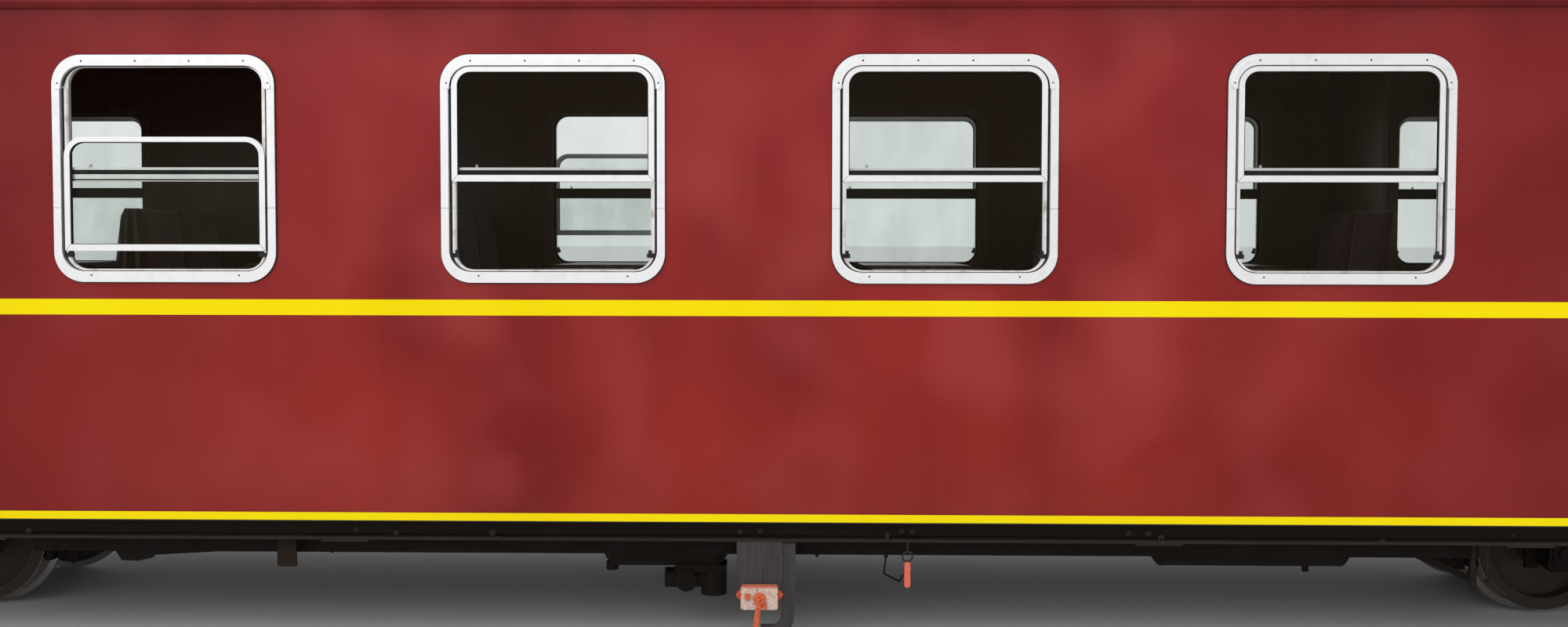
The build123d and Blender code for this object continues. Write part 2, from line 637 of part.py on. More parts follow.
# Solebars: the channels that stand just behind the skirts, open outwards, with splice
# plates under the lower flange. The far one is the near one turned about.
SOLEBAR_BOTTOM = 508
SOLEBAR_HEIGHT = 260
SOLEBAR_FRONT = 1190
WEB_THICKNESS = 10
FLANGE_THICKNESS = 13
SPLICE_PLACES = (-3400, -1784, 107, 1797, 3408)
SPLICE_HALF = 104
SPLICE_THICKNESS = 11
solebar_section = channel(
    (-SOLEBAR_BACK, SOLEBAR_BOTTOM),
    SOLEBAR_BACK - SOLEBAR_FRONT,
    SOLEBAR_HEIGHT,
    WEB_THICKNESS,
    FLANGE_THICKNESS,
)
solebar = along(solebar_section, -HALF_SALOON, HALF_SALOON)
for x in SPLICE_PLACES:
    solebar += block(
        (x - SPLICE_HALF, x + SPLICE_HALF),
        (-SOLEBAR_FRONT + 8, -SOLEBAR_BACK),
        (SOLEBAR_BOTTOM - SPLICE_THICKNESS, SOLEBAR_BOTTOM),
    )
save("solebars", solebar, turned(solebar))

# Platforms: a floor plate on side sills, with lugs for the fall plate's rod.
PLATFORM_HALF_WIDTH = 1190
FALL_PLATE_AXIS = (HALF_FRAME + 18, FLOOR_TOP - 2)
FALL_ROD_RADIUS = 7
PLATFORM_SILL_Y = (1090, 1150)
PLATFORM_SILL_BOTTOM = 760
LUG_Y = (180, 220)
platform_y = (-PLATFORM_HALF_WIDTH, PLATFORM_HALF_WIDTH)
platform = block((HALF_SALOON, HALF_FRAME), platform_y, (FLOOR_BOTTOM, FLOOR_TOP))
platform_sill = block(
    (HALF_SALOON, sill_end), PLATFORM_SILL_Y, (PLATFORM_SILL_BOTTOM, FLOOR_BOTTOM)
)
lug = block((HALF_FRAME, HALF_FRAME + 32), LUG_Y, (FLOOR_TOP - 20, FLOOR_TOP + 14))
lug -= rod_across(*FALL_PLATE_AXIS, FALL_ROD_RADIUS + RUNNING_CLEARANCE, *LUG_Y)
for piece in (platform_sill, lug):
    platform += piece + other_side(piece)
save("platform_floors", platform, other_end(platform))

# Steps: two treads between bent side plates under each platform entrance.
STEP_X = (6190, 6790)
STEP_PLATE = 8
STEP_EDGE = -1186
STEP_FOOT = 370
STEP_TREADS = ((660, -930), (380, -960))
STEP_NOSING = 22
step_side_shape = outline(
    (STEP_EDGE, STEP_FOOT),
    (-960, STEP_FOOT),
    (-930, 640),
    (-930, PLATFORM_SILL_BOTTOM),
    (STEP_EDGE, PLATFORM_SILL_BOTTOM),
)
steps = Part()
for x in STEP_X:
    steps += along(step_side_shape, x, x + STEP_PLATE)
for z, back in STEP_TREADS:
    step_x = (STEP_X[0], STEP_X[1] + STEP_PLATE)
    steps += block(step_x, (STEP_EDGE, back), (z - STEP_PLATE, z))
    nosing_z = (max(z - STEP_NOSING, STEP_FOOT), z)
    steps += block(step_x, (STEP_EDGE, STEP_EDGE + STEP_PLATE), nosing_z)
near_steps = [steps, other_end(steps)]
save("steps", *near_steps, *[other_side(flight) for flight in near_steps])

# Platform railings: corner posts up to the roof, dash panels and door posts.
RAIL_X = 6915
CORNER_POST_Y = 1165
CORNER_POST_RADIUS = 18
DASH_TOP = 1940
DASH_Y = (400, 1160)
DASH_BAR = 30
dash_x = (RAIL_X - DASH_BAR / 2, RAIL_X + DASH_BAR / 2)
railing = post(RAIL_X, CORNER_POST_Y, CORNER_POST_RADIUS, FLOOR_TOP, WALL_TOP)
railing += block(dash_x, (DASH_Y[0], DASH_Y[0] + DASH_BAR), (FLOOR_TOP, DASH_TOP))
railing += block((RAIL_X - 3, RAIL_X + 3), DASH_Y, (FLOOR_TOP + 30, DASH_TOP - 15))
railing += block(dash_x, DASH_Y, (DASH_TOP - 25, DASH_TOP))
railing += block(dash_x, DASH_Y, (FLOOR_TOP + 20, FLOOR_TOP + 40))
railings = [railing, other_side(railing)]
save("platform_railings", *railings, *[other_end(piece) for piece in railings])

# Gates: one barred gate in each platform entrance, hung by the end wall.
GATE_HINGE_X = 6140
GATE_FREE_X = 6885
GATE_Y = (-1176, -1154)
GATE_Z = (FLOOR_TOP + 60, FLOOR_TOP + 960)
GATE_BAR = 22
GATE_BARS = 5
gate = block((GATE_HINGE_X, GATE_FREE_X), GATE_Y, GATE_Z) - block(
    (GATE_HINGE_X + GATE_BAR, GATE_FREE_X - GATE_BAR),
    (GATE_Y[0] - 1, GATE_Y[1] + 1),
    (GATE_Z[0] + GATE_BAR, GATE_Z[1] - GATE_BAR),
)
bar_step = (GATE_FREE_X - GATE_HINGE_X) / (GATE_BARS + 1)
bar_y = (GATE_Y[0] + 5, GATE_Y[1] - 5)
bar_z = (GATE_Z[0] + 5, GATE_Z[1] - 5)
for n in range(1, GATE_BARS + 1):
    x = GATE_HINGE_X + n * bar_step
    gate += block((x - 6, x + 6), bar_y, bar_z)
for z in GATE_HINGES_Z:
    hinge_z = (z - GATE_KNUCKLE_HALF, z + GATE_KNUCKLE_HALF)
    gate += post(*GATE_AXIS, GATE_KNUCKLE_RADIUS, *hinge_z)
    gate += block((GATE_AXIS[0], GATE_HINGE_X + 10), (GATE_AXIS[1] - 14, GATE_AXIS[1] - 4), hinge_z)
    gate -= post(*GATE_AXIS, GATE_PIN_RADIUS + RUNNING_CLEARANCE, *hinge_z)
save("gate_front_near", gate)
save("gate_front_far", other_side(gate))
save("gate_rear_near", other_end(gate))
save("gate_rear_far", other_end(other_side(gate)))

# Fall plates: chequer plates that fold down over the couplers, stored upright.
FALL_PLATE_HALF = 370
FALL_PLATE_LENGTH = 450
fall_plate = block(
    (FALL_PLATE_AXIS[0] + 16, FALL_PLATE_AXIS[0] + 24),
    (-FALL_PLATE_HALF, FALL_PLATE_HALF),
    (FALL_PLATE_AXIS[1] + 26, FALL_PLATE_AXIS[1] + FALL_PLATE_LENGTH),
)
for side in (-1, 1):
    knuckle_y = sorted((side * 235, side * 275))
    fall_plate += block(
        (FALL_PLATE_AXIS[0] - 8, FALL_PLATE_AXIS[0] + 24),
        knuckle_y,
        (FALL_PLATE_AXIS[1] - 8, FALL_PLATE_AXIS[1] + 8),
    )
    fall_plate += block(
        (FALL_PLATE_AXIS[0] + 16, FALL_PLATE_AXIS[0] + 24),
        knuckle_y,
        (FALL_PLATE_AXIS[1] - 8, FALL_PLATE_AXIS[1] + 30),
    )
fall_plate += rod_across(FALL_PLATE_AXIS[0], FALL_PLATE_AXIS[1], FALL_ROD_RADIUS, -275, 275)
save("fall_plate_front", fall_plate)
save("fall_plate_rear", other_end(fall_plate))

# Couplers: centre buffers with a flared head, a pocket for the link and its pin hole.
COUPLER_EYE_RADIUS = 62
COUPLER_EYE_Z = (605, 695)
SHANK_HALF = 42
HEAD_BASE_X = 7040
HEAD_FLARE_X = 7180
HEAD_WIDTH = 320
HEAD_HEIGHT = 220
LINK_PIN_X = 7240
LINK_PIN_RADIUS = 18
coupler = post(COUPLER_PIVOT_X, 0, COUPLER_EYE_RADIUS, *COUPLER_EYE_Z)
coupler += block(
    (COUPLER_PIVOT_X, HEAD_BASE_X),
    (-SHANK_HALF, SHANK_HALF),
    (COUPLER_Z - SHANK_HALF, COUPLER_Z + SHANK_HALF),
)
head_base = Plane(origin=(HEAD_BASE_X, 0, COUPLER_Z), x_dir=(0, 1, 0), z_dir=(1, 0, 0))
head_front = Plane(origin=(HEAD_FLARE_X, 0, COUPLER_Z), x_dir=(0, 1, 0), z_dir=(1, 0, 0))
coupler += loft(
    [
        head_base * RectangleRounded(110, 100, 20),
        head_front * RectangleRounded(HEAD_WIDTH, HEAD_HEIGHT, 60),
    ],
    ruled=True,
)
coupler += along(
    Pos(0, COUPLER_Z) * RectangleRounded(HEAD_WIDTH, HEAD_HEIGHT, 60), HEAD_FLARE_X, HALF_LENGTH
)
coupler -= block((7130, HALF_LENGTH + 1), (-70, 70), (COUPLER_Z - 35, COUPLER_Z + 35))
coupler -= post(LINK_PIN_X, 0, LINK_PIN_RADIUS, COUPLER_Z - 200, COUPLER_Z + 200)
coupler -= post(COUPLER_PIVOT_X, 0, COUPLER_PIN_RADIUS + RUNNING_CLEARANCE, 500, 800)
save("coupler_front", coupler)
save("coupler_rear", other_end(coupler))

# Brake pipe ends: a pipe stub and a cock beside each coupler.
PIPE_Y = 420
PIPE_Z = 640
PIPE_RADIUS = 17
brake_pipe = rod_along(PIPE_Y, PIPE_Z, PIPE_RADIUS, HALF_FRAME, HALF_FRAME + 110)
brake_pipe += block(
    (HALF_FRAME + 20, HALF_FRAME + 70), (PIPE_Y - 26, PIPE_Y + 26), (PIPE_Z - 26, PIPE_Z + 26)
)
brake_pipe += block(
    (HALF_FRAME + 36, HALF_FRAME + 54), (PIPE_Y - 8, PIPE_Y + 8), (PIPE_Z + 26, PIPE_Z + 110)
)
save("brake_pipe_ends", brake_pipe, turned(brake_pipe))


# Under-floor equipment: a small and a long air tank by each side beam, turned end for
# end on the far side. The small one has an inlet pipe and the long one a drain cock.
TANK_Y = 830
TANK_Z = 443
SMALL_TANK_X = (-700, -95)
SMALL_TANK_RADIUS = 125
LONG_TANK_X = (1832, 2768)
LONG_TANK_RADIUS = 113
STRAP_HALF = 20
STRAP_THICKNESS = 8
STRAP_INSET = 140
INLET_PIPE = (-755, 419, 20)
DRAIN_PLUG = (-650, 297, 28)
DRAIN_COCK = (2562, 304, 15)


def tank(x_range, y, z, radius):
    """A tank with domed ends: two caps of a large sphere on a plain shell."""
    dome = radius * 0.45
    cap_radius = (radius**2 + dome**2) / (2 * dome)
    half_angle = math.asin(radius / cap_radius) / 2
    inset = cap_radius - cap_radius * math.cos(half_angle)
    rise = cap_radius * math.sin(half_angle)
    x_from, x_to = x_range
    profile = make_face(
        [
            Line((x_from, 0), (x_to, 0)),
            ThreePointArc((x_to, 0), (x_to - inset, rise), (x_to - dome, radius)),
            Line((x_to - dome, radius), (x_from + dome, radius)),
            ThreePointArc((x_from + dome, radius), (x_from + inset, rise), (x_from, 0)),
        ]
    )
    return Pos(0, y, z) * revolve(profile, Axis.X)


def strap(x, y, z, radius):
    """A flat hanger from the floor down both sides of a tank."""
    outer = radius + STRAP_THICKNESS
    plate_x = (x - STRAP_HALF, x + STRAP_HALF)
    plate = block(plate_x, (y - outer, y + outer), (z, FLOOR_BOTTOM))
    return plate - block(plate_x, (y - radius, y + radius), (z, FLOOR_BOTTOM - STRAP_THICKNESS))


small_tank = tank(SMALL_TANK_X, -TANK_Y, TANK_Z, SMALL_TANK_RADIUS)
small_tank += rod_along(-TANK_Y, INLET_PIPE[1], INLET_PIPE[2], INLET_PIPE[0], SMALL_TANK_X[0] + 30)
small_tank += post(
    DRAIN_PLUG[0], -TANK_Y, DRAIN_PLUG[2], DRAIN_PLUG[1], TANK_Z - SMALL_TANK_RADIUS + 15
)
long_tank = tank(LONG_TANK_X, -TANK_Y, TANK_Z, LONG_TANK_RADIUS)
long_tank += post(DRAIN_COCK[0], -TANK_Y, DRAIN_COCK[2], DRAIN_COCK[1], TANK_Z - LONG_TANK_RADIUS + 10)
straps = []
for x_range, radius in ((SMALL_TANK_X, SMALL_TANK_RADIUS), (LONG_TANK_X, LONG_TANK_RADIUS)):
    for x in (x_range[0] + STRAP_INSET, x_range[1] - STRAP_INSET):
        straps.append(strap(x, -TANK_Y, TANK_Z, radius))
save("air_tanks", small_tank, long_tank, turned(small_tank), turned(long_tank))


# Control valve: a lumpy casting that hangs by its flange under the small tank.
VALVE_BODY_X = (-352, -118)
VALVE_BODY_Y = (-885, -775)
VALVE_BODY_Z = (292, 350)
VALVE_CHAMBER = (-176, 60, 186)
VALVE_SLIDE = (260, 46, -402)
VALVE_COVER = (-300, 258, 50)
valve = block(VALVE_BODY_X, VALVE_BODY_Y, VALVE_BODY_Z)
valve -= rod_along(-TANK_Y, TANK_Z, SMALL_TANK_RADIUS, *SMALL_TANK_X)
valve += post(VALVE_CHAMBER[0], -TANK_Y, VALVE_CHAMBER[1], VALVE_CHAMBER[2], VALVE_BODY_Z[0] + 8)
valve += rod_along(-TANK_Y, VALVE_SLIDE[0], VALVE_SLIDE[1], VALVE_SLIDE[2], VALVE_CHAMBER[0])
valve += rod_across(*VALVE_COVER, -895, -765)
save("control_valve", valve)

# Brake cylinder under the middle of the floor, with its rod and two brackets to the sills.
CYLINDER_Z = 600
CYLINDER_RADIUS = 130
CYLINDER_X = (500, 850)
CYLINDER_BRACKETS = (560, 760)
BRACKET_THICKNESS = 40
BRACKET_Z = (560, 800)
cylinder = rod_along(0, CYLINDER_Z, CYLINDER_RADIUS, *CYLINDER_X)
cylinder += rod_along(0, CYLINDER_Z, CYLINDER_RADIUS + 20, CYLINDER_X[0], CYLINDER_X[0] + 20)
cylinder += rod_along(0, CYLINDER_Z, 28, CYLINDER_X[1], CYLINDER_X[1] + 150)
for x in CYLINDER_BRACKETS:
    cylinder += block((x, x + BRACKET_THICKNESS), (-SILL_Y[0], SILL_Y[0]), BRACKET_Z)
save("brake_cylinder", cylinder)

# Changeover plates: one on each side, at the middle of the coach, hung from the
# solebar, with a small gear box and the lever that points down.
CHANGE_X = (-51, 149)
CHANGE_BOTTOM = 225
BOX_X = (-51, 149)
BOX_Z = (215, 320)
LEVER_PIVOT = (50, 264)
LEVER_TIP = (30, 112)
PLATE_FRONT = -SOLEBAR_FRONT + 2
plate_shape = outline(
    (CHANGE_X[0], CHANGE_BOTTOM),
    (CHANGE_X[1], CHANGE_BOTTOM),
    (CHANGE_X[1], SOLEBAR_BOTTOM),
    (CHANGE_X[0], SOLEBAR_BOTTOM),
)
plate_shape = fillet(plate_shape.vertices().sort_by(Axis.Y)[:2], 60)
change_plate = across(plate_shape, PLATE_FRONT, PLATE_FRONT + 6)
box_shape = Pos(sum(BOX_X) / 2, sum(BOX_Z) / 2) * RectangleRounded(
    BOX_X[1] - BOX_X[0] - 36, BOX_Z[1] - BOX_Z[0], 12
)
ears = Pos(sum(BOX_X) / 2, sum(BOX_Z) / 2 + 8) * SlotOverall(BOX_X[1] - BOX_X[0], 44)
change_box = across(box_shape, PLATE_FRONT - 34, PLATE_FRONT)
change_box += across(ears, PLATE_FRONT - 12, PLATE_FRONT)
lever_angle = math.degrees(
    math.atan2(LEVER_TIP[1] - LEVER_PIVOT[1], LEVER_TIP[0] - LEVER_PIVOT[0])
)
lever_length = math.dist(LEVER_TIP, LEVER_PIVOT)
lever_shape = Pos(*LEVER_PIVOT) * Circle(28) + Pos(*LEVER_PIVOT) * Rot(0, 0, lever_angle) * (
    Pos(lever_length / 2, 0) * SlotOverall(lever_length + 24, 24)
)
lever = across(lever_shape, PLATE_FRONT - 44, PLATE_FRONT - 34)
save("changeover_boxes", change_box, turned(change_box))
save("changeover_levers", lever, turned(lever))

# Guard bars: a flat bar beside each changeover plate that turns in under the lever.
# They share the plates' sub-part.
GUARD_X = (150, 207)
GUARD_BOTTOM = 82
GUARD_END_X = 55
GUARD_BEND = 90
GUARD_LEAN = 13
GUARD_LEAN_FROM = 262
GUARD_LEAN_BEND = 120
guard_width = GUARD_X[1] - GUARD_X[0]
GUARD_TOP = SOLEBAR_BOTTOM - SPLICE_THICKNESS
guard_low_x = [x - GUARD_LEAN for x in GUARD_X]
guard_shape = outline(
    (GUARD_X[0], GUARD_TOP),
    (GUARD_X[0], GUARD_LEAN_FROM),
    (guard_low_x[0], GUARD_BOTTOM + guard_width),
    (GUARD_END_X, GUARD_BOTTOM + guard_width),
    (GUARD_END_X, GUARD_BOTTOM),
    (guard_low_x[1], GUARD_BOTTOM),
    (GUARD_X[1], GUARD_LEAN_FROM),
    (GUARD_X[1], GUARD_TOP),
)
bends = (
    (guard_low_x[1], GUARD_BOTTOM, GUARD_BEND),
    (guard_low_x[0], GUARD_BOTTOM + guard_width, GUARD_BEND - guard_width),
    (GUARD_X[0], GUARD_LEAN_FROM, GUARD_LEAN_BEND),
    (GUARD_X[1], GUARD_LEAN_FROM, GUARD_LEAN_BEND),
)
for x, z, radius in bends:
    guard_shape = fillet(guard_shape.vertices().sort_by_distance((x, z))[0], radius)
guard = across(guard_shape, -SOLEBAR_FRONT + 10, -SOLEBAR_FRONT + 22)
save("changeover_plates", change_plate, guard, turned(change_plate), turned(guard))

# Release pulls: a hook, a ring and a flat tag under each solebar.
PULL_X = 700
PULL_Y = -1150
PULL_THICKNESS = 6
TAG_Z = (298, 417)
TAG_HALF = 13
RING_Z = 436
RING_RADII = (26, 18)
HOOK_RADIUS = 5
pull_y = (PULL_Y - PULL_THICKNESS / 2, PULL_Y + PULL_THICKNESS / 2)
tag_shape = SlotOverall(TAG_Z[1] - TAG_Z[0], 2 * TAG_HALF, rotation=90)
ring_shape = Circle(RING_RADII[0]) - Circle(RING_RADII[1])
pull = across(Pos(PULL_X, sum(TAG_Z) / 2) * tag_shape, *pull_y)
pull += across(Pos(PULL_X, RING_Z) * ring_shape, *pull_y)
pull += post(PULL_X, PULL_Y, HOOK_RADIUS, RING_Z + RING_RADII[0] - 2, SOLEBAR_BOTTOM)
save("release_pulls", pull, turned(pull))

# Small hangers: a sloped bracket and a braced end bracket on the side beam, two plates
# on the back of the solebar, two gussets, a bent link rod, a drain pipe with its trap
# and the straps of the tanks.
SOLEBAR_PLATE_Y = (-SOLEBAR_BACK, -SOLEBAR_BACK + 12)
SLOPED_BRACKET = (
    (-2899, SIDE_BEAM_Z[0]),
    (-2866, 368),
    (-2790, 365),
    (-2725, 380),
    (-2715, 393),
    (-2340, SIDE_BEAM_Z[0]),
)
END_BRACKET = (
    (2972, SIDE_BEAM_Z[0]),
    (3238, 300),
    (3238, 254),
    (3254, 254),
    (3260, 300),
    (3260, SIDE_BEAM_Z[0]),
)
END_BRACKET_HOLE = ((3045, SIDE_BEAM_Z[0]), (3221, 338), (3240, SIDE_BEAM_Z[0]))
GUSSETS = ((-1900, 404), (302, 396))
GUSSET_HALF = 15
LINK_ROD_Y = -1012
LINK_ROD = ((614, 406), (604, 327), (675, 291), (691, 320))
LINK_ROD_RADIUS = 4
DRAIN_X = 3241
DRAIN_Y = -1140
DRAIN_Z = (345, SOLEBAR_BOTTOM)
DRAIN_RADIUS = 4
DRAIN_TURN = 130
DRAIN_TRAP = 105
DRAIN_TRAP_RADIUS = 15
hangers = [
    across(outline(*SLOPED_BRACKET), *SIDE_HANGER_Y),
    across(outline(*END_BRACKET) - outline(*END_BRACKET_HOLE), *SIDE_HANGER_Y),
    block((-2115, -2030), SOLEBAR_PLATE_Y, (366, SILL_BOTTOM)),
    block((3189, 3207), SOLEBAR_PLATE_Y, (280, SILL_BOTTOM)),
]
for x, foot in GUSSETS:
    gusset = outline((x - GUSSET_HALF, SIDE_BEAM_Z[0]), (x + GUSSET_HALF, SIDE_BEAM_Z[0]), (x, foot))
    hangers.append(across(gusset, *SIDE_HANGER_Y))
link_line = Polyline([(x, LINK_ROD_Y, z) for x, z in LINK_ROD])
link_rod = sweep(
    Plane(origin=link_line @ 0, z_dir=link_line % 0) * Circle(LINK_ROD_RADIUS),
    path=link_line,
    transition=Transition.RIGHT,
)
hangers.append(link_rod + rod_across(*LINK_ROD[0], 9, LINK_ROD_Y - 6, SIDE_HANGER_Y[0] + 6))
drain = post(DRAIN_X, DRAIN_Y, DRAIN_RADIUS, DRAIN_Z[0], DRAIN_Z[1])
drain += Pos(DRAIN_X, DRAIN_Y, DRAIN_Z[0]) * Rot(0, DRAIN_TURN, 0) * Cylinder(
    DRAIN_TRAP_RADIUS, DRAIN_TRAP, align=(Align.CENTER, Align.CENTER, Align.MIN)
)
hangers.append(drain)
hangers += straps
save("equipment_hangers", *hangers, *[turned(one) for one in hangers])

# Bogies. Each is drawn about its own pivot and then set under the coach. The frame is
# two side plates joined by transoms and end beams, with hornways for the axle boxes.
BOGIE_HALF_LENGTH = 1050
SIDE_PLATE_Y = (548, 572)
BOGIE_FRAME_TOP = 600
BOGIE_FRAME_FOOT = 420
PEDESTAL_FOOT = 262
END_BEAM_FOOT = 500
BOX_HALF = 80
LEG_WIDTH = 60
AXLE_BOX_TOP = 440
TRANSOM_X = (190, 250)
PLANK_Z = (430, 450)
SPRING_HALF = 330
SPRING_TOP = 490
SPRING_SAG = 55
LEAF_THICKNESS = 10
LEAF_HALVES = (330, 275, 220, 165, 110)
SPRING_Y = (592, 648)
EYE_RADIUS = 16
LINK_THICKNESS = 6
half_base = WHEELBASE / 2


def mirrored_outline(right_half):
    """A closed outline from its right half, listed from the top to the bottom."""
    left_half = [(-x, z) for x, z in reversed(right_half)]
    return outline(*right_half, *left_half)


side_plate_shape = mirrored_outline(
    [
        (BOGIE_HALF_LENGTH, BOGIE_FRAME_TOP),
        (BOGIE_HALF_LENGTH, 500),
        (half_base + BOX_HALF + LEG_WIDTH + 40, BOGIE_FRAME_FOOT),
        (half_base + BOX_HALF + LEG_WIDTH, BOGIE_FRAME_FOOT - 40),
        (half_base + BOX_HALF + LEG_WIDTH, PEDESTAL_FOOT),
        (half_base + BOX_HALF, PEDESTAL_FOOT),
        (half_base + BOX_HALF, AXLE_BOX_TOP),
        (half_base - BOX_HALF, AXLE_BOX_TOP),
        (half_base - BOX_HALF, PEDESTAL_FOOT),
        (half_base - BOX_HALF - LEG_WIDTH, PEDESTAL_FOOT),
        (half_base - BOX_HALF - LEG_WIDTH, BOGIE_FRAME_FOOT - 60),
        (half_base - BOX_HALF - LEG_WIDTH - 60, BOGIE_FRAME_FOOT),
    ]
)
side_plate_shape -= Pos(0, 510) * RectangleRounded(460, 100, 40)
side_plate = across(side_plate_shape, *SIDE_PLATE_Y)
frame = side_plate + other_side(side_plate)
for x_range in (TRANSOM_X, (BOGIE_HALF_LENGTH - 50, BOGIE_HALF_LENGTH)):
    foot = PLANK_Z[0] if x_range == TRANSOM_X else END_BEAM_FOOT
    beam = block(x_range, (-SIDE_PLATE_Y[0], SIDE_PLATE_Y[0]), (foot, BOGIE_FRAME_TOP - 8))
    frame += beam + other_end(beam)
plank = block((-TRANSOM_X[0], TRANSOM_X[0]), (-480, -360), PLANK_Z)
frame += plank + other_side(plank)
eye_z = SPRING_TOP + SPRING_SAG - LEAF_THICKNESS / 2
for x in (half_base - SPRING_HALF, half_base + SPRING_HALF):
    bracket = block(
        (x - 22, x + 22), (SIDE_PLATE_Y[1], SPRING_Y[1] + LINK_THICKNESS), (588, BOGIE_FRAME_TOP)
    )
    for y in (SPRING_Y[0] - LINK_THICKNESS, SPRING_Y[1]):
        bracket += block((x - 16, x + 16), (y, y + LINK_THICKNESS), (eye_z - 20, 588))
    for piece in (bracket, other_end(bracket)):
        frame += piece + other_side(piece)


# Springs: stacked leaves over each axle box and a pair of facing packs that carry each
# end of the bolster.
def leaf_pack(halves, sag, top, thickness):
    """Stacked leaves in an upward curve: concentric bands, each shorter than the last."""
    radius = (halves[0] ** 2 + sag**2) / (2 * sag)
    pack = Sketch()
    for index, half in enumerate(halves):
        band = Circle(radius + thickness * (index + 1)) - Circle(radius + thickness * index)
        band = Pos(0, top + radius) * band
        pack += band & outline((-half, 0), (half, 0), (half, top + sag + 30), (-half, top + sag + 30))
    return pack


main_pack = leaf_pack(LEAF_HALVES, SPRING_SAG, SPRING_TOP, LEAF_THICKNESS)
main_spring = across(main_pack, *SPRING_Y)
for x in (-SPRING_HALF, SPRING_HALF):
    main_spring += rod_across(x, eye_z, EYE_RADIUS, *SPRING_Y)
main_spring += block((-34, 34), (SPRING_Y[0] - 6, SPRING_Y[1] + 6), (AXLE_BOX_TOP, SPRING_TOP + 10))
BOLSTER_FOOT = 590
BOLSTER_SPRING_Y = (-460, -380)
BOLSTER_SPRING_HALVES = (172, 130, 88)
BUCKLE_X = (-30, 30)
bolster_pack = leaf_pack(BOLSTER_SPRING_HALVES, 41, 479, 9)
bolster_spring = across(bolster_pack, *BOLSTER_SPRING_Y)
bolster_spring += mirror(bolster_spring, about=Plane.XY.offset((PLANK_Z[1] + BOLSTER_FOOT) / 2))
bolster_spring += block(BUCKLE_X, BOLSTER_SPRING_Y, (PLANK_Z[1], 464))
bolster_spring += block(BUCKLE_X, BOLSTER_SPRING_Y, (576, BOLSTER_FOOT))

# Bolster: the cross beam with its centre plate and two side bearers.
BOLSTER_TOP = 690
SIDE_BEARER_TOP = 710
bolster = block((-140, 140), (-520, 520), (BOLSTER_FOOT, BOLSTER_TOP))
bolster += post(0, 0, CENTRE_PLATE_RADIUS - 10, BOLSTER_TOP, CENTRE_PLATE_BOTTOM - 0.5)
for y in (-460, 460):
    bolster += block((-50, 50), (y - 40, y + 40), (BOLSTER_TOP, SIDE_BEARER_TOP))

# Axle boxes in the hornways, with the journals turning in them.
JOURNAL_RADIUS = 45
AXLE_RADIUS = 60
SEAT_RADIUS = 62
BOX_SUMP = 258
LID_WIDTH = 124
LID_HEIGHT = 132
LID_FACE = -668
LID_BOSS = 34
BOX_RIB_FACE = -672
axle_box = block((-BOX_HALF, BOX_HALF), (-660, -536), (271, AXLE_BOX_TOP))
axle_box = fillet(axle_box.edges().filter_by(Axis.Y), 24)
axle_box += block((-46, 46), (-640, -556), (BOX_SUMP, 285))
lid_shape = Pos(0, AXLE_Z + 2) * RectangleRounded(LID_WIDTH, LID_HEIGHT, 26)
axle_box += across(lid_shape, LID_FACE, -660)
axle_box += rod_across(0, AXLE_Z, LID_BOSS, LID_FACE - 6, LID_FACE)
for x in (-BOX_HALF, BOX_HALF):
    rib_x = sorted((x, x * 0.84))
    axle_box += block(rib_x, (BOX_RIB_FACE, -640), (AXLE_BOX_TOP - 120, AXLE_BOX_TOP - 30))
axle_box -= rod_across(0, AXLE_Z, JOURNAL_RADIUS + RUNNING_CLEARANCE, -640, -500)

# Wheelsets: an axle with two wheels shrunk on, each with a flange, a coned tread and a
# dished web.
WHEEL_BACK = GAUGE / 2 - 30
WHEEL_FACE = GAUGE / 2 + 90
wheel_profile = make_face(
    Polyline(
        (SEAT_RADIUS, WHEEL_BACK + 4),
        (108, WHEEL_BACK + 4),
        (112, 392),
        (262, 378),
        (262, WHEEL_BACK),
        (FLANGE_RADIUS, WHEEL_BACK),
        (FLANGE_RADIUS, 364),
        (TREAD_RADIUS, 376),
        (TREAD_RADIUS - 4, WHEEL_FACE),
        (262, WHEEL_FACE),
        (262, 400),
        (112, 414),
        (108, 470),
        (SEAT_RADIUS, 470),
        close=True,
    )
)
wheel = Pos(0, 0, AXLE_Z) * revolve(wheel_profile, Axis.Y)
axle_profile = make_face(
    Polyline(
        (0, -635),
        (JOURNAL_RADIUS, -635),
        (JOURNAL_RADIUS, -490),
        (SEAT_RADIUS, -470),
        (SEAT_RADIUS, -340),
        (AXLE_RADIUS, -330),
        (AXLE_RADIUS, 330),
        (SEAT_RADIUS, 340),
        (SEAT_RADIUS, 470),
        (JOURNAL_RADIUS, 490),
        (JOURNAL_RADIUS, 635),
        (0, 635),
        close=True,
    )
)
axle = Pos(0, 0, AXLE_Z) * revolve(axle_profile, Axis.Y)

# Brake gear: each wheel is clasped by two shoes. A beam joins the inner pair, hung from
# the transom, and another the outer pair, hung from the end beam of the frame.
SHOE_GAP = 6
SHOE_THICKNESS = 34
SHOE_Y = (382, 458)
SHOE_HALF_HEIGHT = 120
shoe_ring = Circle(TREAD_RADIUS + SHOE_GAP + SHOE_THICKNESS) - Circle(TREAD_RADIUS + SHOE_GAP)
shoe_shape = shoe_ring & (Pos(-300, 0) * Rectangle(200, 2 * SHOE_HALF_HEIGHT))
ARM_Y = (408, 432)
ARM_WIDTH = 36
INNER_ARM_X = TRANSOM_X[1]
OUTER_ARM_X = half_base + TREAD_RADIUS + SHOE_GAP + SHOE_THICKNESS - 1
INNER_BEAM_RADIUS = 20
OUTER_BEAM = (1100, 250, 32)
inner_brake = across(Pos(half_base, AXLE_Z) * shoe_shape, *SHOE_Y)
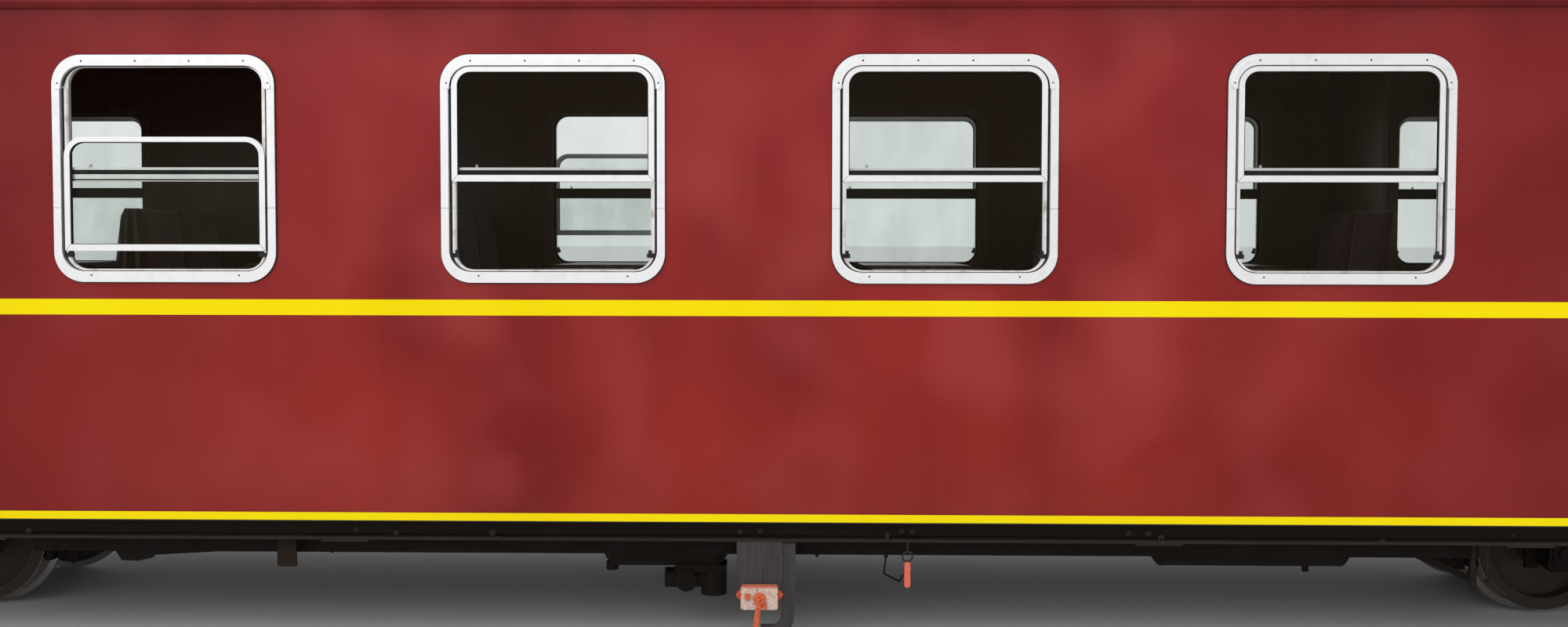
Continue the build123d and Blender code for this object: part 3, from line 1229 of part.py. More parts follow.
inner_brake += block((INNER_ARM_X, INNER_ARM_X + ARM_WIDTH), ARM_Y, (AXLE_Z - 20, PLANK_Z[0] + 40))
inner_brake += other_side(inner_brake)
inner_brake += rod_across(
    INNER_ARM_X + ARM_WIDTH / 2, AXLE_Z, INNER_BEAM_RADIUS, -ARM_Y[1], ARM_Y[1]
)
outer_brake = across(Pos(half_base, AXLE_Z) * mirror(shoe_shape, about=Plane.YZ), *SHOE_Y)
outer_brake += block((OUTER_ARM_X, OUTER_ARM_X + ARM_WIDTH), ARM_Y, (235, END_BEAM_FOOT))
outer_brake += block((OUTER_ARM_X, OUTER_BEAM[0]), ARM_Y, (235, 265))
outer_brake += other_side(outer_brake)
outer_brake += rod_across(*OUTER_BEAM, -ARM_Y[1] - 20, ARM_Y[1] + 20)
brakes = [inner_brake, outer_brake, other_end(inner_brake), other_end(outer_brake)]

for end, name in ((1, "front"), (-1, "rear")):
    place = Pos(end * PIVOT_X, 0, 0)
    springs, boxes = [], []
    for x in (-half_base, half_base):
        springs += [Pos(x, 0, 0) * main_spring, Pos(x, 0, 0) * other_side(main_spring)]
        boxes += [Pos(x, 0, 0) * axle_box, Pos(x, 0, 0) * other_side(axle_box)]
    springs += [bolster_spring, other_side(bolster_spring)]
    save(f"bogie_frame_{name}", place * frame)
    save(f"bogie_bolster_{name}", place * bolster)
    save(f"bogie_springs_{name}", *[place * spring for spring in springs])
    save(f"axle_boxes_{name}", *[place * box for box in boxes])
    save(f"brake_gear_{name}", *[place * brake for brake in brakes])
wheelset = axle + wheel + other_side(wheel)
axle_places = [PIVOT_X + half_base, PIVOT_X - half_base, half_base - PIVOT_X, -half_base - PIVOT_X]
for index, x in enumerate(axle_places, start=1):
    save(f"wheelset_{index}", Pos(x, 0, 0) * wheelset)
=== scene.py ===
import math
from itertools import product

import bmesh
import bpy
from mathutils import Matrix, Vector


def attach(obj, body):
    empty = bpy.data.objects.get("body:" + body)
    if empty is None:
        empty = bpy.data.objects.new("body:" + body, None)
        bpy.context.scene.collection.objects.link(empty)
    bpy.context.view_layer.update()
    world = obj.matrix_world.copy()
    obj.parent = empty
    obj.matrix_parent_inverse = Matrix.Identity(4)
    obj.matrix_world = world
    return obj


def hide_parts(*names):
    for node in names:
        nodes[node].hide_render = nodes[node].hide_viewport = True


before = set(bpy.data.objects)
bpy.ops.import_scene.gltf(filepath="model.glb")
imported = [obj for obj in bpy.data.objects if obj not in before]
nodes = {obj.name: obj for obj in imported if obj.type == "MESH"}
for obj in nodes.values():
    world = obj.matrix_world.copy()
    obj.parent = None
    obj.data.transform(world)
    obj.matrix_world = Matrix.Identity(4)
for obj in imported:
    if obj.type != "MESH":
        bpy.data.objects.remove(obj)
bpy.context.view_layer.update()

# Camera. It stands beside the middle of the coach at about eye height, square to the
# side wall, a degree or two off level, at the distance that the window sizes give.
CAMERA_PLACE = (0.2579, -7.067, 1.8303)
YAW, PITCH, ROLL = (math.radians(turn) for turn in (-0.945, -2.0933, 0.0887))
stage = bpy.context.scene


def add(name, data):
    """Puts a new object into the scene."""
    item = bpy.data.objects.new(name, data)
    stage.collection.objects.link(item)
    return item


camera_data = bpy.data.cameras.new("camera")
camera_data.sensor_width = 36.0
camera_data.sensor_fit = "HORIZONTAL"
camera_data.lens = 31.004
camera_data.shift_x = -0.000925
camera_data.shift_y = -0.01523
camera_data.clip_end = 200.0
camera = add("camera", camera_data)
stage.camera = camera
camera.matrix_world = Matrix.Translation(CAMERA_PLACE)
for turn, axis in ((-YAW, "Z"), (math.pi / 2 + PITCH, "X"), (ROLL, "Z")):
    camera.matrix_world @= Matrix.Rotation(turn, 4, axis)

# Floor and light. A plain pale floor under an even pale sky, with one wide soft lamp
# from the front left, so that paint shows about the colour it was mixed to.
FLOOR_REACH = 400
SKY_LIGHT = (0.93, 0.95, 1.0)
SKY_SEEN = (0.9, 0.91, 0.92)


class Tree:
    """A shader tree, with short ways to add nodes whose inputs are values or sockets."""

    def __init__(self, tree):
        self.tree = tree

    def feed(self, socket, value):
        """Links a socket to another's result, or sets its plain value."""
        if isinstance(value, bpy.types.NodeSocket):
            self.tree.links.new(value, socket)
        else:
            socket.default_value = (*value, 1) if socket.type == "RGBA" else value

    def put(self, kind, settings=None, **inputs):
        """Adds a node; an underscore in an input's name stands for a space."""
        node = self.tree.nodes.new(kind)
        for key, value in (settings or {}).items():
            setattr(node, key, value)
        for key, value in inputs.items():
            self.feed(node.inputs[key.replace("_", " ")], value)
        return node

    def sums(self, operation, *values):
        """The result of a maths node."""
        node = self.put("ShaderNodeMath", {"operation": operation})
        for socket, value in zip(node.inputs, values):
            self.feed(socket, value)
        return node.outputs[0]

    def times(self, first, second):
        return self.sums("MULTIPLY", first, second)

    def size(self, value):
        return self.sums("ABSOLUTE", value)

    def tint(self, mask, under, over):
        """Lays one colour over another where the mask is white."""
        node = self.put("ShaderNodeMix", {"data_type": "RGBA"})
        for index, value in ((0, mask), (6, under), (7, over)):
            self.feed(node.inputs[index], value)
        return node.outputs[2]

    def ramp(self, value, low, high, foot=0.0, top=1.0):
        """Turns the stretch from low to high into foot to top."""
        node = self.put(
            "ShaderNodeMapRange", Value=value, From_Min=low, From_Max=high,
            To_Min=foot, To_Max=top,
        )
        return node.outputs["Result"]

    def place(self):
        return self.put("ShaderNodeTexCoord").outputs["Object"]

    def axes(self):
        """The three coordinates of a point on the coach, in metres."""
        return self.put("ShaderNodeSeparateXYZ", Vector=self.place()).outputs[:3]

    def mottle(self, size, detail=3.0, stretch=(1, 1, 1)):
        """Noise on the coach's own metres, with blotches of about the given size."""
        scaled = self.put("ShaderNodeMapping", Vector=self.place(), Scale=stretch)
        noise = self.put(
            "ShaderNodeTexNoise", Vector=scaled.outputs["Vector"], Scale=1 / size,
            Detail=detail, Roughness=0.55,
        )
        return noise.outputs["Fac"]

    def distance(self, first, second):
        """How far a point is from an axis, by its two coordinates off that axis."""
        off = self.put("ShaderNodeCombineXYZ", X=first, Y=second).outputs[0]
        length = self.put("ShaderNodeVectorMath", {"operation": "LENGTH"}, Vector=off)
        return length.outputs["Value"]

    def spots(self, size, detail, *limits, stretch=(1, 1, 1)):
        """Noise whose stretch between two limits is spread out."""
        return self.ramp(self.mottle(size, detail, stretch), *limits)


class Finish(Tree):
    """A material with its tree and its shader, and the plain values set."""

    def __init__(self, name, rough, metal=0.0, gloss=0.5):
        self.name, self.material = name, bpy.data.materials.new(name)
        self.material.use_nodes = True
        super().__init__(self.material.node_tree)
        self.shader = self.tree.nodes["Principled BSDF"].inputs
        self.shader["Roughness"].default_value = rough
        self.shader["Metallic"].default_value = metal
        self.shader["Specular IOR Level"].default_value = gloss

    def colour(self, value):
        self.feed(self.shader["Base Color"], value)

    def rough(self, value):
        self.feed(self.shader["Roughness"], value)

    def bumps(self, value, depth, strength=1.0):
        """Raises the surface by a value, by the given depth in metres."""
        bump = self.put("ShaderNodeBump", Height=value, Distance=depth, Strength=strength)
        self.feed(self.shader["Normal"], bump.outputs["Normal"])

    def use(self, effect, **inputs):
        """Adds an effect's node and gives back its results."""
        return self.put("ShaderNodeGroup", {"node_tree": effect.tree}, **inputs).outputs

    def wear(self, effect, depth, strength, **inputs):
        """Takes roughness and bumps from an effect, and its colour till another is given."""
        look = self.use(effect, **inputs)
        self.colour(look["Colour"])
        self.rough(look["Roughness"])
        self.bumps(look["Height"], depth, strength)
        return look["Colour"]

    def coat(self, *names):
        """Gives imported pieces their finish."""
        for name in names:
            slots = nodes[name].data.materials
            if not slots:
                slots.append(self.material)
            for index in range(len(slots)):
                slots[index] = self.material


floor_data = bpy.data.meshes.new("studio_floor")
floor_data.from_pydata([
    (FLOOR_REACH * a, FLOOR_REACH * b, 0) for a, b in ((-1, -1), (1, -1), (1, 1), (-1, 1))
], [], [(0, 1, 2, 3)])
studio_floor = add("studio_floor", floor_data)
floor_paint = Finish("floor_paint", 0.9, gloss=0.1)
floor_paint.colour((0.74, 0.735, 0.72))
floor_data.materials.append(floor_paint.material)

sky_world = bpy.data.worlds.new("sky")
stage.world = sky_world
sky_world.use_nodes = True
sky = Tree(sky_world.node_tree)
lit_sky = sky.tree.nodes["Background"]
sky.feed(lit_sky.inputs["Color"], SKY_LIGHT)
sky.feed(lit_sky.inputs["Strength"], 0.8)
seen_sky = sky.put("ShaderNodeBackground", Color=SKY_SEEN, Strength=1.0)
ray = sky.put("ShaderNodeLightPath").outputs
seen = sky.sums("MAXIMUM", ray["Is Camera Ray"], ray["Is Transmission Ray"])
choice = sky.put("ShaderNodeMixShader")
for socket, result in zip(choice.inputs, (seen, lit_sky.outputs[0], seen_sky.outputs[0])):
    sky.feed(socket, result)
sky.feed(sky.tree.nodes["World Output"].inputs[0], choice.outputs[0])

lamp_data = bpy.data.lights.new("soft_lamp", "SUN")
lamp_data.energy = 1.1
lamp_data.angle = math.radians(55)
soft_lamp = add("soft_lamp", lamp_data)
soft_lamp.rotation_euler = (math.radians(48), 0, math.radians(-28))
stage.view_settings.view_transform = "Standard"

# Side walls. Steel sheet welded over a frame and painted wine red, with paler blooms and darker
# patches that are partly old cloudy paint and partly painted reflection, fine runs down from the
# roof and dust below, a painted shadow under the eave and a painted darker reflection at the ends.
WALL = 1.2
SKIN = 0.031
HEM = 0.597
FLOOR_FOOT = 0.89
WINE = (0.292, 0.0185, 0.019)
WINE_PALE = (0.37, 0.042, 0.04)
WINE_DARK = (0.165, 0.006, 0.006)
WINE_LOW = (0.31, 0.0185, 0.0125)
EAVE_SHADOW = (0.05, 0.0075, 0.008)
WALL_DUST = (0.14, 0.03, 0.02)
ROOM_VARNISH = (0.12, 0.055, 0.025)
IRON_PAINT_AND_HEM_SHADE = (0.03, 0.028, 0.027)
END_FACE = 6.1005
END_ROOM_FACE = 6.046


class Effect(Tree):
    """A node group that several finishes share: the colours, values and vectors it deals in."""

    def __init__(self, name, takes, gives):
        super().__init__(bpy.data.node_groups.new(name, "ShaderNodeTree"))
        for way, sockets in (("INPUT", takes), ("OUTPUT", gives)):
            for labels, kind in zip(sockets, ("Color", "Float", "Vector")):
                for label in filter(None, labels.split(", ")):
                    self.tree.interface.new_socket(
                        label, in_out=way, socket_type="NodeSocket" + kind
                    )
        self.given = self.tree.nodes.new("NodeGroupInput").outputs
        self.result = self.tree.nodes.new("NodeGroupOutput").inputs

    def give(self, **results):
        for key, value in results.items():
            self.feed(self.result[key.replace("_", " ")], value)


cloudy = Effect("cloudy_paint", ("Colour, Pale, Dark", "Amount"), ("Colour", "Gloss Loss"))
wide = cloudy.spots(0.75, 1.0, 0.42, 0.76, stretch=(1, 1, 0.8))
patches = cloudy.spots(0.42, 1.0, 0.44, 0.78, stretch=(0.9, 1, 0.8))
fine = cloudy.spots(0.03, 4.0, 0.35, 0.75)
runs = cloudy.spots(0.05, 2.0, 0.5, 0.8, stretch=(1, 1, 0.05))
amount, pale, dark = (cloudy.given[name] for name in ("Amount", "Pale", "Dark"))
clouded = cloudy.tint(cloudy.times(wide, amount), cloudy.given["Colour"], dark)
bloomed = cloudy.tint(cloudy.times(patches, amount), clouded, pale)
streaked = cloudy.tint(cloudy.times(runs, 0.1), bloomed, pale)
cloudy.give(
    Colour=cloudy.tint(cloudy.times(fine, 0.07), streaked, dark),
    Gloss_Loss=cloudy.ramp(fine, 0.0, 1.0, 0.24, 0.4),
)

dusted = Effect("dust_film", ("Colour, Dust", "Amount, Clean Height, Fade"), ("Colour",))
dust_depth = dusted.sums(
    "DIVIDE", dusted.sums("SUBTRACT", dusted.given["Clean Height"], dusted.axes()[2]),
    dusted.given["Fade"],
)
dust_low = dusted.put("ShaderNodeClamp", Value=dust_depth).outputs[0]
dust_spots = dusted.spots(0.09, 5.0, 0.3, 0.7, 0.35, 1.0)
dust_mask = dusted.times(dusted.times(dust_low, dust_spots), dusted.given["Amount"])
dusted.give(Colour=dusted.tint(dust_mask, dusted.given["Colour"], dusted.given["Dust"]))

red = Finish("red_paint", 0.32, gloss=0.2)
red_x, red_y, red_z = red.axes()
# Painted reflection: the soft paler and darker clouds on the gloss red are partly uneven old paint
# and partly painted reflections of the surroundings.
red_mottle_and_reflection = red.use(
    # Painted reflection: the red runs from a hazier tone up high to a more saturated one low down,
    # for the sky's sheen on the gloss.
    cloudy, Colour=red.tint(red.ramp(red_z, 2.3, 0.9), WINE, WINE_LOW), Pale=WINE_PALE,
    Dark=WINE_DARK, Amount=0.75,
)
red_dust = red.use(
    dusted, Colour=red_mottle_and_reflection["Colour"], Dust=WALL_DUST, Amount=0.3, Clean_Height=0.95, Fade=0.4
)
# Painted shadow: the top of the wall under the roof eave is painted darker, in streaky patches.
eave_shadow = red.times(
    red.ramp(red_z, 2.62, 2.86), red.spots(0.3, 2.0, 0.3, 0.7, 0.0, 0.4, stretch=(1, 1, 0.3))
)
red_along, red_across = red.size(red_x), red.size(red_y)
# Painted reflection: the gloss red is painted darker towards both ends, where it mirrors darker
# surroundings.
end_reflection = red.ramp(red_along, 1.7, 3.4, 0.0, 0.6)
red_end_reflected = red.tint(end_reflection, red_dust["Colour"], WINE_DARK)
red_shaded = red.tint(eave_shadow, red_end_reflected, EAVE_SHADOW)
room_side = red.times(
    red.ramp(red_across, WALL - SKIN + 0.001, WALL - SKIN),
    red.ramp(red_along, END_ROOM_FACE, END_ROOM_FACE - 0.001),
)
behind_skirt = red.times(
    red.ramp(red_across, WALL - 0.0025, WALL - 0.0035),
    red.ramp(red_z, FLOOR_FOOT + 0.002, FLOOR_FOOT),
)
# Painted shade: the sheet's lower edge below the narrow stripe is painted near black, together with
# the skirt's back and the end faces in dark iron paint.
skirt_back_and_hem_shade = red.sums("MAXIMUM", behind_skirt, red.ramp(red_z, HEM + 0.0002, HEM - 0.0002))
ironwork_and_hem_shade = red.sums("MAXIMUM", red.ramp(red_along, END_FACE, END_FACE + 0.0005), skirt_back_and_hem_shade)
red.colour(red.tint(ironwork_and_hem_shade, red.tint(room_side, red_shaded, ROOM_VARNISH), IRON_PAINT_AND_HEM_SHADE))
red.rough(red_mottle_and_reflection["Gloss Loss"])
red.bumps(red.mottle(0.3, 2.0), 0.004, 0.25)
red.coat(
    "side_wall_near", "side_wall_far", "end_walls", "end_door_front", "end_door_rear", "gutters"
)

# Yellow stripes. Two bands of yellow enamel rolled on between masking tape all along both
# sides, a wide one under the windows and a narrow one on the lower edge of the sheet.
WALL_HALF = 6.1
WIDE_STRIPE = (1.5, 1.5688)
LOW_STRIPE = (HEM, 0.6315)
SHEET_SEAM = (0.6365, 0.6395)
SIDES = ((-1, "near"), (1, "far"))


def block(mesh, x, y, z, side=1):
    """Adds a box given by its ranges; its Y range is counted out to either side."""
    corners = [mesh.verts.new((a, side * b, c)) for a in x for b in y for c in z]
    for face in ("0132", "4675", "0451", "2376", "0264", "1573"):
        mesh.faces.new([corners[int(n)] for n in face])


def fit(name, mesh, finish, body="coach_body", bevel=0.0):
    """Makes a finished mesh a named piece that rides on its body."""
    bmesh.ops.recalc_face_normals(mesh, faces=mesh.faces)
    data = bpy.data.meshes.new(name)
    mesh.to_mesh(data)
    mesh.free()
    data.polygons.foreach_set("use_smooth", [True] * len(data.polygons))
    data.set_sharp_from_angle(angle=math.radians(32))
    data.materials.append(finish.material)
    piece = add(name, data)
    if bevel:
        rounding = piece.modifiers.new("rounding", "BEVEL")
        rounding.width = bevel
        rounding.segments = 2
        rounding.limit_method = "ANGLE"
        rounding.harden_normals = False
    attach(piece, body)
    return piece


yellow = Finish("yellow_paint", 0.35, gloss=0.06)
yellow_cloud = yellow.use(
    cloudy, Colour=(1.0, 0.8, 0.002), Pale=(1.0, 0.86, 0.008), Dark=(0.95, 0.68, 0.001),
    Amount=0.45,
)
yellow.colour(yellow.use(
    dusted, Colour=yellow_cloud["Colour"], Dust=(0.6, 0.42, 0.02), Amount=0.2,
    Clean_Height=0.7, Fade=0.2,
)["Colour"])
yellow.rough(yellow_cloud["Gloss Loss"])
for side, side_name in SIDES:
    stripes, seam = bmesh.new(), bmesh.new()
    for stripe in (WIDE_STRIPE, LOW_STRIPE):
        block(stripes, (-WALL_HALF, WALL_HALF), (WALL, WALL + 0.0006), stripe, side)
    fit(f"stripes_{side_name}", stripes, yellow)
    block(seam, (-WALL_HALF, WALL_HALF), (WALL, WALL + 0.0012), SHEET_SEAM, side)
    fit(f"sheet_seam_{side_name}", seam, red, bevel=0.0005)

# Window frames. Rolled aluminium section bent round each opening, bedded on black rubber that
# also stands for painted contact shadow round its edge, and screwed on, with a cover moulding
# arched over the top, beads to guide the sash, and dark felts that are partly painted shade.
WINDOW_PITCH = 1.7
LARGE = [WINDOW_PITCH * (n - 2.5) for n in range(6)]
SMALL = (-5.56, 5.56)
MIDDLE = 2.138
FRAME_SIZE = (0.975, 0.989)
SMALL_SIZE = (0.5, 0.989)
WINDOWS = [(x, FRAME_SIZE) for x in LARGE] + [(x, SMALL_SIZE) for x in SMALL]
FACE = WALL + 0.012
FRAME_BACK = 1.1712
LOWERED = {"near": {1: 0.304}, "far": {2: 0.225}}
JOINT_FOOT = -0.171
JOINT_WIDE = 0.0014
COVER_FACE = FACE + 0.0028
COVER_FOOT = 0.347
COVER_EDGES = ((0.0165, 0.0165, 0.1135), (0.0395, 0.0475, 0.092))
SHADE_FELT_EDGES = ((0.0345, 0.0475, 0.0955), (0.0455, 0.051, 0.0865))
CLIP_HEIGHTS = (0.345, 0.36)
CLIP_SCREW = (0.4605, 0.371)
CHANNEL_HEAD = 0.352
CHANNEL_BACK = WALL - 0.0101
SHADE_FELT_FACE = WALL - 0.0085
RAIL_GROOVES = ((-0.0235, -0.004), (-0.0502, -0.0438))
STOP_BLOCKS = (((0.408, 0.447), 0.003, (-0.385, -0.366)), ((0.414, 0.429), 0.001, (-0.366, -0.352)))
LATCH_PLACE = (-0.337, WALL - 0.02)
WORN = ("Colour", "Roughness, Height")
brushed = Effect("brushed_metal", ("Colour, Grime", "Amount"), WORN)
hair = brushed.mottle(0.004, 3.0, (0.08, 1, 1))
blots = brushed.spots(0.05, 4.0, 0.5, 0.78)
blotted = brushed.times(blots, brushed.given["Amount"])
brushed.give(
    Colour=brushed.tint(blotted, brushed.given["Colour"], brushed.given["Grime"]),
    Roughness=brushed.ramp(hair, 0.2, 0.8, 0.32, 0.48), Height=hair,
)
alloy = Finish("frame_alloy", 0.4, metal=0.75)
alloy_colour = alloy.wear(
    brushed, 0.0002, 0.3, Colour=(0.965, 0.955, 0.935), Grime=(0.6, 0.55, 0.5), Amount=0.22
)
# Faces inward of the frames' back face are painted dark brown, partly a dark lining and partly
# painted shade for the unlit inside.
frame_back = alloy.ramp(alloy.size(alloy.axes()[1]), FRAME_BACK, FRAME_BACK - 0.0006)
alloy.colour(alloy.tint(frame_back, alloy_colour, (0.035, 0.022, 0.012)))
alloy.coat("window_frames", "window_sashes")

bead_alloy = Finish("bead_alloy", 0.45, metal=0.7)
bead_alloy.wear(
    brushed, 0.0002, 0.3, Colour=(0.9, 0.87, 0.83), Grime=(0.3, 0.2, 0.13), Amount=0.75
)
rubber = Finish("black_rubber", 0.7, gloss=0.3)
rubber.colour(rubber.tint(
    rubber.spots(0.03, 4.0, 0.4, 0.8), (0.009, 0.009, 0.011), (0.03, 0.028, 0.028)
))
screw_steel = Finish("screw_steel", 0.45, metal=0.8)
screw_steel.colour(screw_steel.tint(
    screw_steel.spots(0.004, 3.0, 0.4, 0.7), (0.11, 0.1, 0.1), (0.05, 0.03, 0.02)
))


def rounded(width, height, radius, steps=10):
    """Points of a rounded rectangle about its middle, from the lower right, anticlockwise."""
    points = []
    for corner, (a, b) in enumerate(((1, -1), (1, 1), (-1, 1), (-1, -1))):
        for step in range(steps + 1):
            turn = math.radians(90 * (corner - 1) + 90 * step / steps)
            points.append((
                a * (width / 2 - radius) + radius * math.cos(turn),
                b * (height / 2 - radius) + radius * math.sin(turn),
            ))
    return points


def inset(size, side, top, radius):
    """A frame's outline moved in by a margin at its sides and one at its top and foot."""
    return rounded(size[0] - 2 * side, size[1] - 2 * top, radius)


def skin(mesh, rings, capped=False):
    """Lays faces from ring to ring of corners, and over the first and last if capped."""
    for (one, two), n in product(zip(rings, rings[1:]), range(len(rings[0]))):
        mesh.faces.new((one[n - 1], one[n], two[n], two[n - 1]))
    if capped:
        mesh.faces.new(rings[0])
        mesh.faces.new(rings[-1])


def strip(mesh, lines):
    """A bar whose long edges are the given lines of corners, closed at its two ends."""
    for (one, two), n in product(zip(lines, lines[1:] + lines[:1]), range(1, len(lines[0]))):
        mesh.faces.new((one[n - 1], one[n], two[n], two[n - 1]))
    for n in (0, -1):
        mesh.faces.new([line[n] for line in lines])


def band(mesh, outer, inner, ys, place, side=1, closed=True):
    """A flat band between two outlines, whose depth is counted out to either side."""
    lines = [
        [mesh.verts.new((place[0] + a, side * y, place[1] + b)) for a, b in line]
        for line, y in ((outer, ys[0]), (inner, ys[0]), (inner, ys[1]), (outer, ys[1]))
    ]
    if closed:
        skin(mesh, lines + lines[:1])
    else:
        strip(mesh, lines)


def circle(mesh, centre, axis, radius, sides):
    """A ring of corners round an axis."""
    first = axis.orthogonal().normalized()
    second = axis.cross(first)
    turns = (2 * math.pi * n / sides for n in range(sides))
    return [
        mesh.verts.new(centre + radius * (first * math.cos(turn) + second * math.sin(turn)))
        for turn in turns
    ]


def dome(mesh, centre, axis, radius, rise, sides=12):
    """A low domed head, such as a screw's or a rivet's, that stands up along an axis."""
    centre, axis = Vector(centre), Vector(axis).normalized()
    skin(mesh, [
        circle(mesh, centre + axis * rise * lift, axis, radius * reach, sides)
        for reach, lift in ((1.0, 0.0), (0.92, 0.55), (0.6, 0.9))
    ], capped=True)


def rod(mesh, start, stop, radius, sides=12):
    """A round bar between two points."""
    start, stop = Vector(start), Vector(stop)
    axis = (stop - start).normalized()
    skin(mesh, [circle(mesh, end, axis, radius, sides) for end in (start, stop)], capped=True)


def upper_part(line, foot):
    """The stretch of a rounded outline above a height, from its right end over to its left."""
    kept = [point for point in line if point[1] > foot]
    return [(kept[0][0], foot)] + kept + [(kept[-1][0], foot)]


def lower_part(line, head):
    """The stretch of a rounded outline below a height, from its left end round to its right."""
    start = next(n for n, point in enumerate(line) if point[0] < 0 and point[1] < head)
    kept = [point for point in line[start:] + line[:start] if point[1] < head]
    return [(kept[0][0], head)] + kept + [(kept[-1][0], head)]


for side, side_name in SIDES:
    seals_and_shade_lines, covers, beads, screws, stops, felts_and_shade = (bmesh.new() for _ in range(6))

    def screw(x, y, z, radius=0.0042):
        dome(screws, (x, side * y, z), (0, side, 0), radius, 0.0015)

    for x, size in WINDOWS:
        place = (x, MIDDLE)
        half, tall = size[0] / 2, size[1] / 2
        large = size is FRAME_SIZE
        outer, inner = inset(size, -0.0035, -0.0035, 0.1335), inset(size, 0.01, 0.01, 0.12)
        # The black bedding ring is rubber that also stands for the painted contact shadow round the
        # frame's edge.
        band(seals_and_shade_lines, outer, inner, (WALL - 0.001, WALL + 0.004), place, side)
        for a in (-1, 1):
            block(
                seals_and_shade_lines, (x + a * half, x + a * (half - 0.0345)), (FACE - 0.004, FACE + 0.0002),
                (MIDDLE + JOINT_FOOT, MIDDLE + JOINT_FOOT + JOINT_WIDE), side,
            )
        screws_across = (-0.355, -0.118, 0.118, 0.355) if large else (-0.12, 0.12)
        for a in screws_across:
            screw(x + a, COVER_FACE if large else FACE + 0.0004, MIDDLE + tall - 0.0275, 0.0045)
        for a in (screws_across[0] + 0.03, screws_across[-1] - 0.03):
            screw(x + a, FACE + 0.0004, MIDDLE - tall + 0.03)
        if not large:
            continue
        # Dark felt strips over the sash's head, in its side channels and in the rail's grooves:
        # partly felt and dirt, partly painted shade in these recesses.
        for mesh, ys, foot, edges in (
            (covers, (FACE - 0.001, COVER_FACE), COVER_FOOT, COVER_EDGES),
            (felts_and_shade, (CHANNEL_BACK, SHADE_FELT_FACE), CHANNEL_HEAD, SHADE_FELT_EDGES),
        ):
            outer, inner = (upper_part(inset(size, *edge), foot) for edge in edges)
            band(mesh, outer, inner, ys, place, side, False)
        for a in (-1, 1):
            block(
                covers, (x + a * (half - 0.0395), x + a * (half - 0.0165)),
                (FACE - 0.001, FACE + 0.0048), [MIDDLE + z for z in CLIP_HEIGHTS], side,
            )
            screw(x + a * CLIP_SCREW[0], FACE + 0.0024, MIDDLE + CLIP_SCREW[1])
            for reach, out, heights in STOP_BLOCKS:
                zs = [MIDDLE + z for z in heights]
                block(stops, [x + a * b for b in reach], (WALL - 0.01, WALL + out), zs, side)
        drop = LOWERED[side_name].get(LARGE.index(x), 0.0)
        head = -0.06 - drop
        for mesh, face, edges in (
            (felts_and_shade, SHADE_FELT_FACE, ((0.0345, 0.0473, 0.0955), (0.0455, 0.05, 0.0915))),
            (beads, WALL - 0.003, ((0.0465, 0.0505, 0.087), (0.0565, 0.0543, 0.083))),
            (beads, WALL - 0.0055, ((0.0575, 0.0548, 0.078), (0.061, 0.0565, 0.074))),
        ):
            outer, inner = (lower_part(inset(size, *edge), head) for edge in edges)
            ys, zs = (CHANNEL_BACK, face), (MIDDLE + head + 0.0005, MIDDLE + CHANNEL_HEAD)
            band(mesh, outer, inner, ys, place, side, False)
            for a in (-1, 1) if drop or mesh is felts_and_shade else ():
                block(mesh, [x + a * (half - edge[0]) for edge in edges], ys, zs, side)
        for groove in RAIL_GROOVES:
            xs, zs = (x - 0.4245, x + 0.4245), [MIDDLE + z for z in groove]
            block(felts_and_shade, xs, (WALL - 0.0122, WALL - 0.0115), zs, side)
        latch_x, latch_y = x + LATCH_PLACE[0], side * LATCH_PLACE[1]
        rod(beads, (latch_x, latch_y, MIDDLE + 0.0065), (latch_x, latch_y, MIDDLE + 0.02), 0.006)
    fit(f"window_seals_{side_name}", seals_and_shade_lines, rubber)
    fit(f"window_covers_{side_name}", covers, alloy, bevel=0.0008)
    fit(f"sash_guide_beads_{side_name}", beads, bead_alloy)
    fit(f"window_screws_{side_name}", screws, screw_steel)
    fit(f"sash_stops_{side_name}", stops, rubber, bevel=0.001)
    fit(f"channel_felts_and_shade_{side_name}", felts_and_shade, rubber)

# Sashes and glass. A drop sash with round top corners and mitred square ones below holds
# its pane in a black rubber channel; the lower pane sits in the frame under its rail.
SASH_WIDE = 0.882
SASH_TOP = 0.443
SASH_FOOT = -0.054
SASH_BANDS = (0.025, 0.028)
GASKET_EDGES = ((0.0245, 0.0215, 0.0275, 0.0605), (0.0285, 0.026, 0.031, 0.057))
MITRE_HALF = 0.0007


def sash_line(margin_side, margin_top, margin_foot, radius, steps=8):
    """A sash's outline moved in, round at the top and square below."""
    half = SASH_WIDE / 2 - margin_side
    head, foot = SASH_TOP - margin_top, SASH_FOOT + margin_foot
    arcs = rounded(2 * half, head - foot, radius, steps)[steps + 1:3 * steps + 3]
    return [(half, foot)] + [(a, b + (head + foot) / 2) for a, b in arcs] + [(-half, foot)]


glass = Finish("window_glass", 0.03, gloss=0.3)
glass.shader["Transmission Weight"].default_value = 1.0
glass.shader["IOR"].default_value = 1.16
glass.feed(glass.shader["Specular Tint"], (1.0, 0.8, 0.55))
smears = glass.spots(0.16, 5.0, 0.35, 0.75, stretch=(1, 1, 0.5))
glass.colour(glass.tint(smears, (0.85, 0.88, 0.86), (0.76, 0.79, 0.77)))
glass.rough(glass.ramp(smears, 0.0, 1.0, 0.01, 0.05))
glass.coat("window_panes", "end_door_pane_front", "end_door_pane_rear")

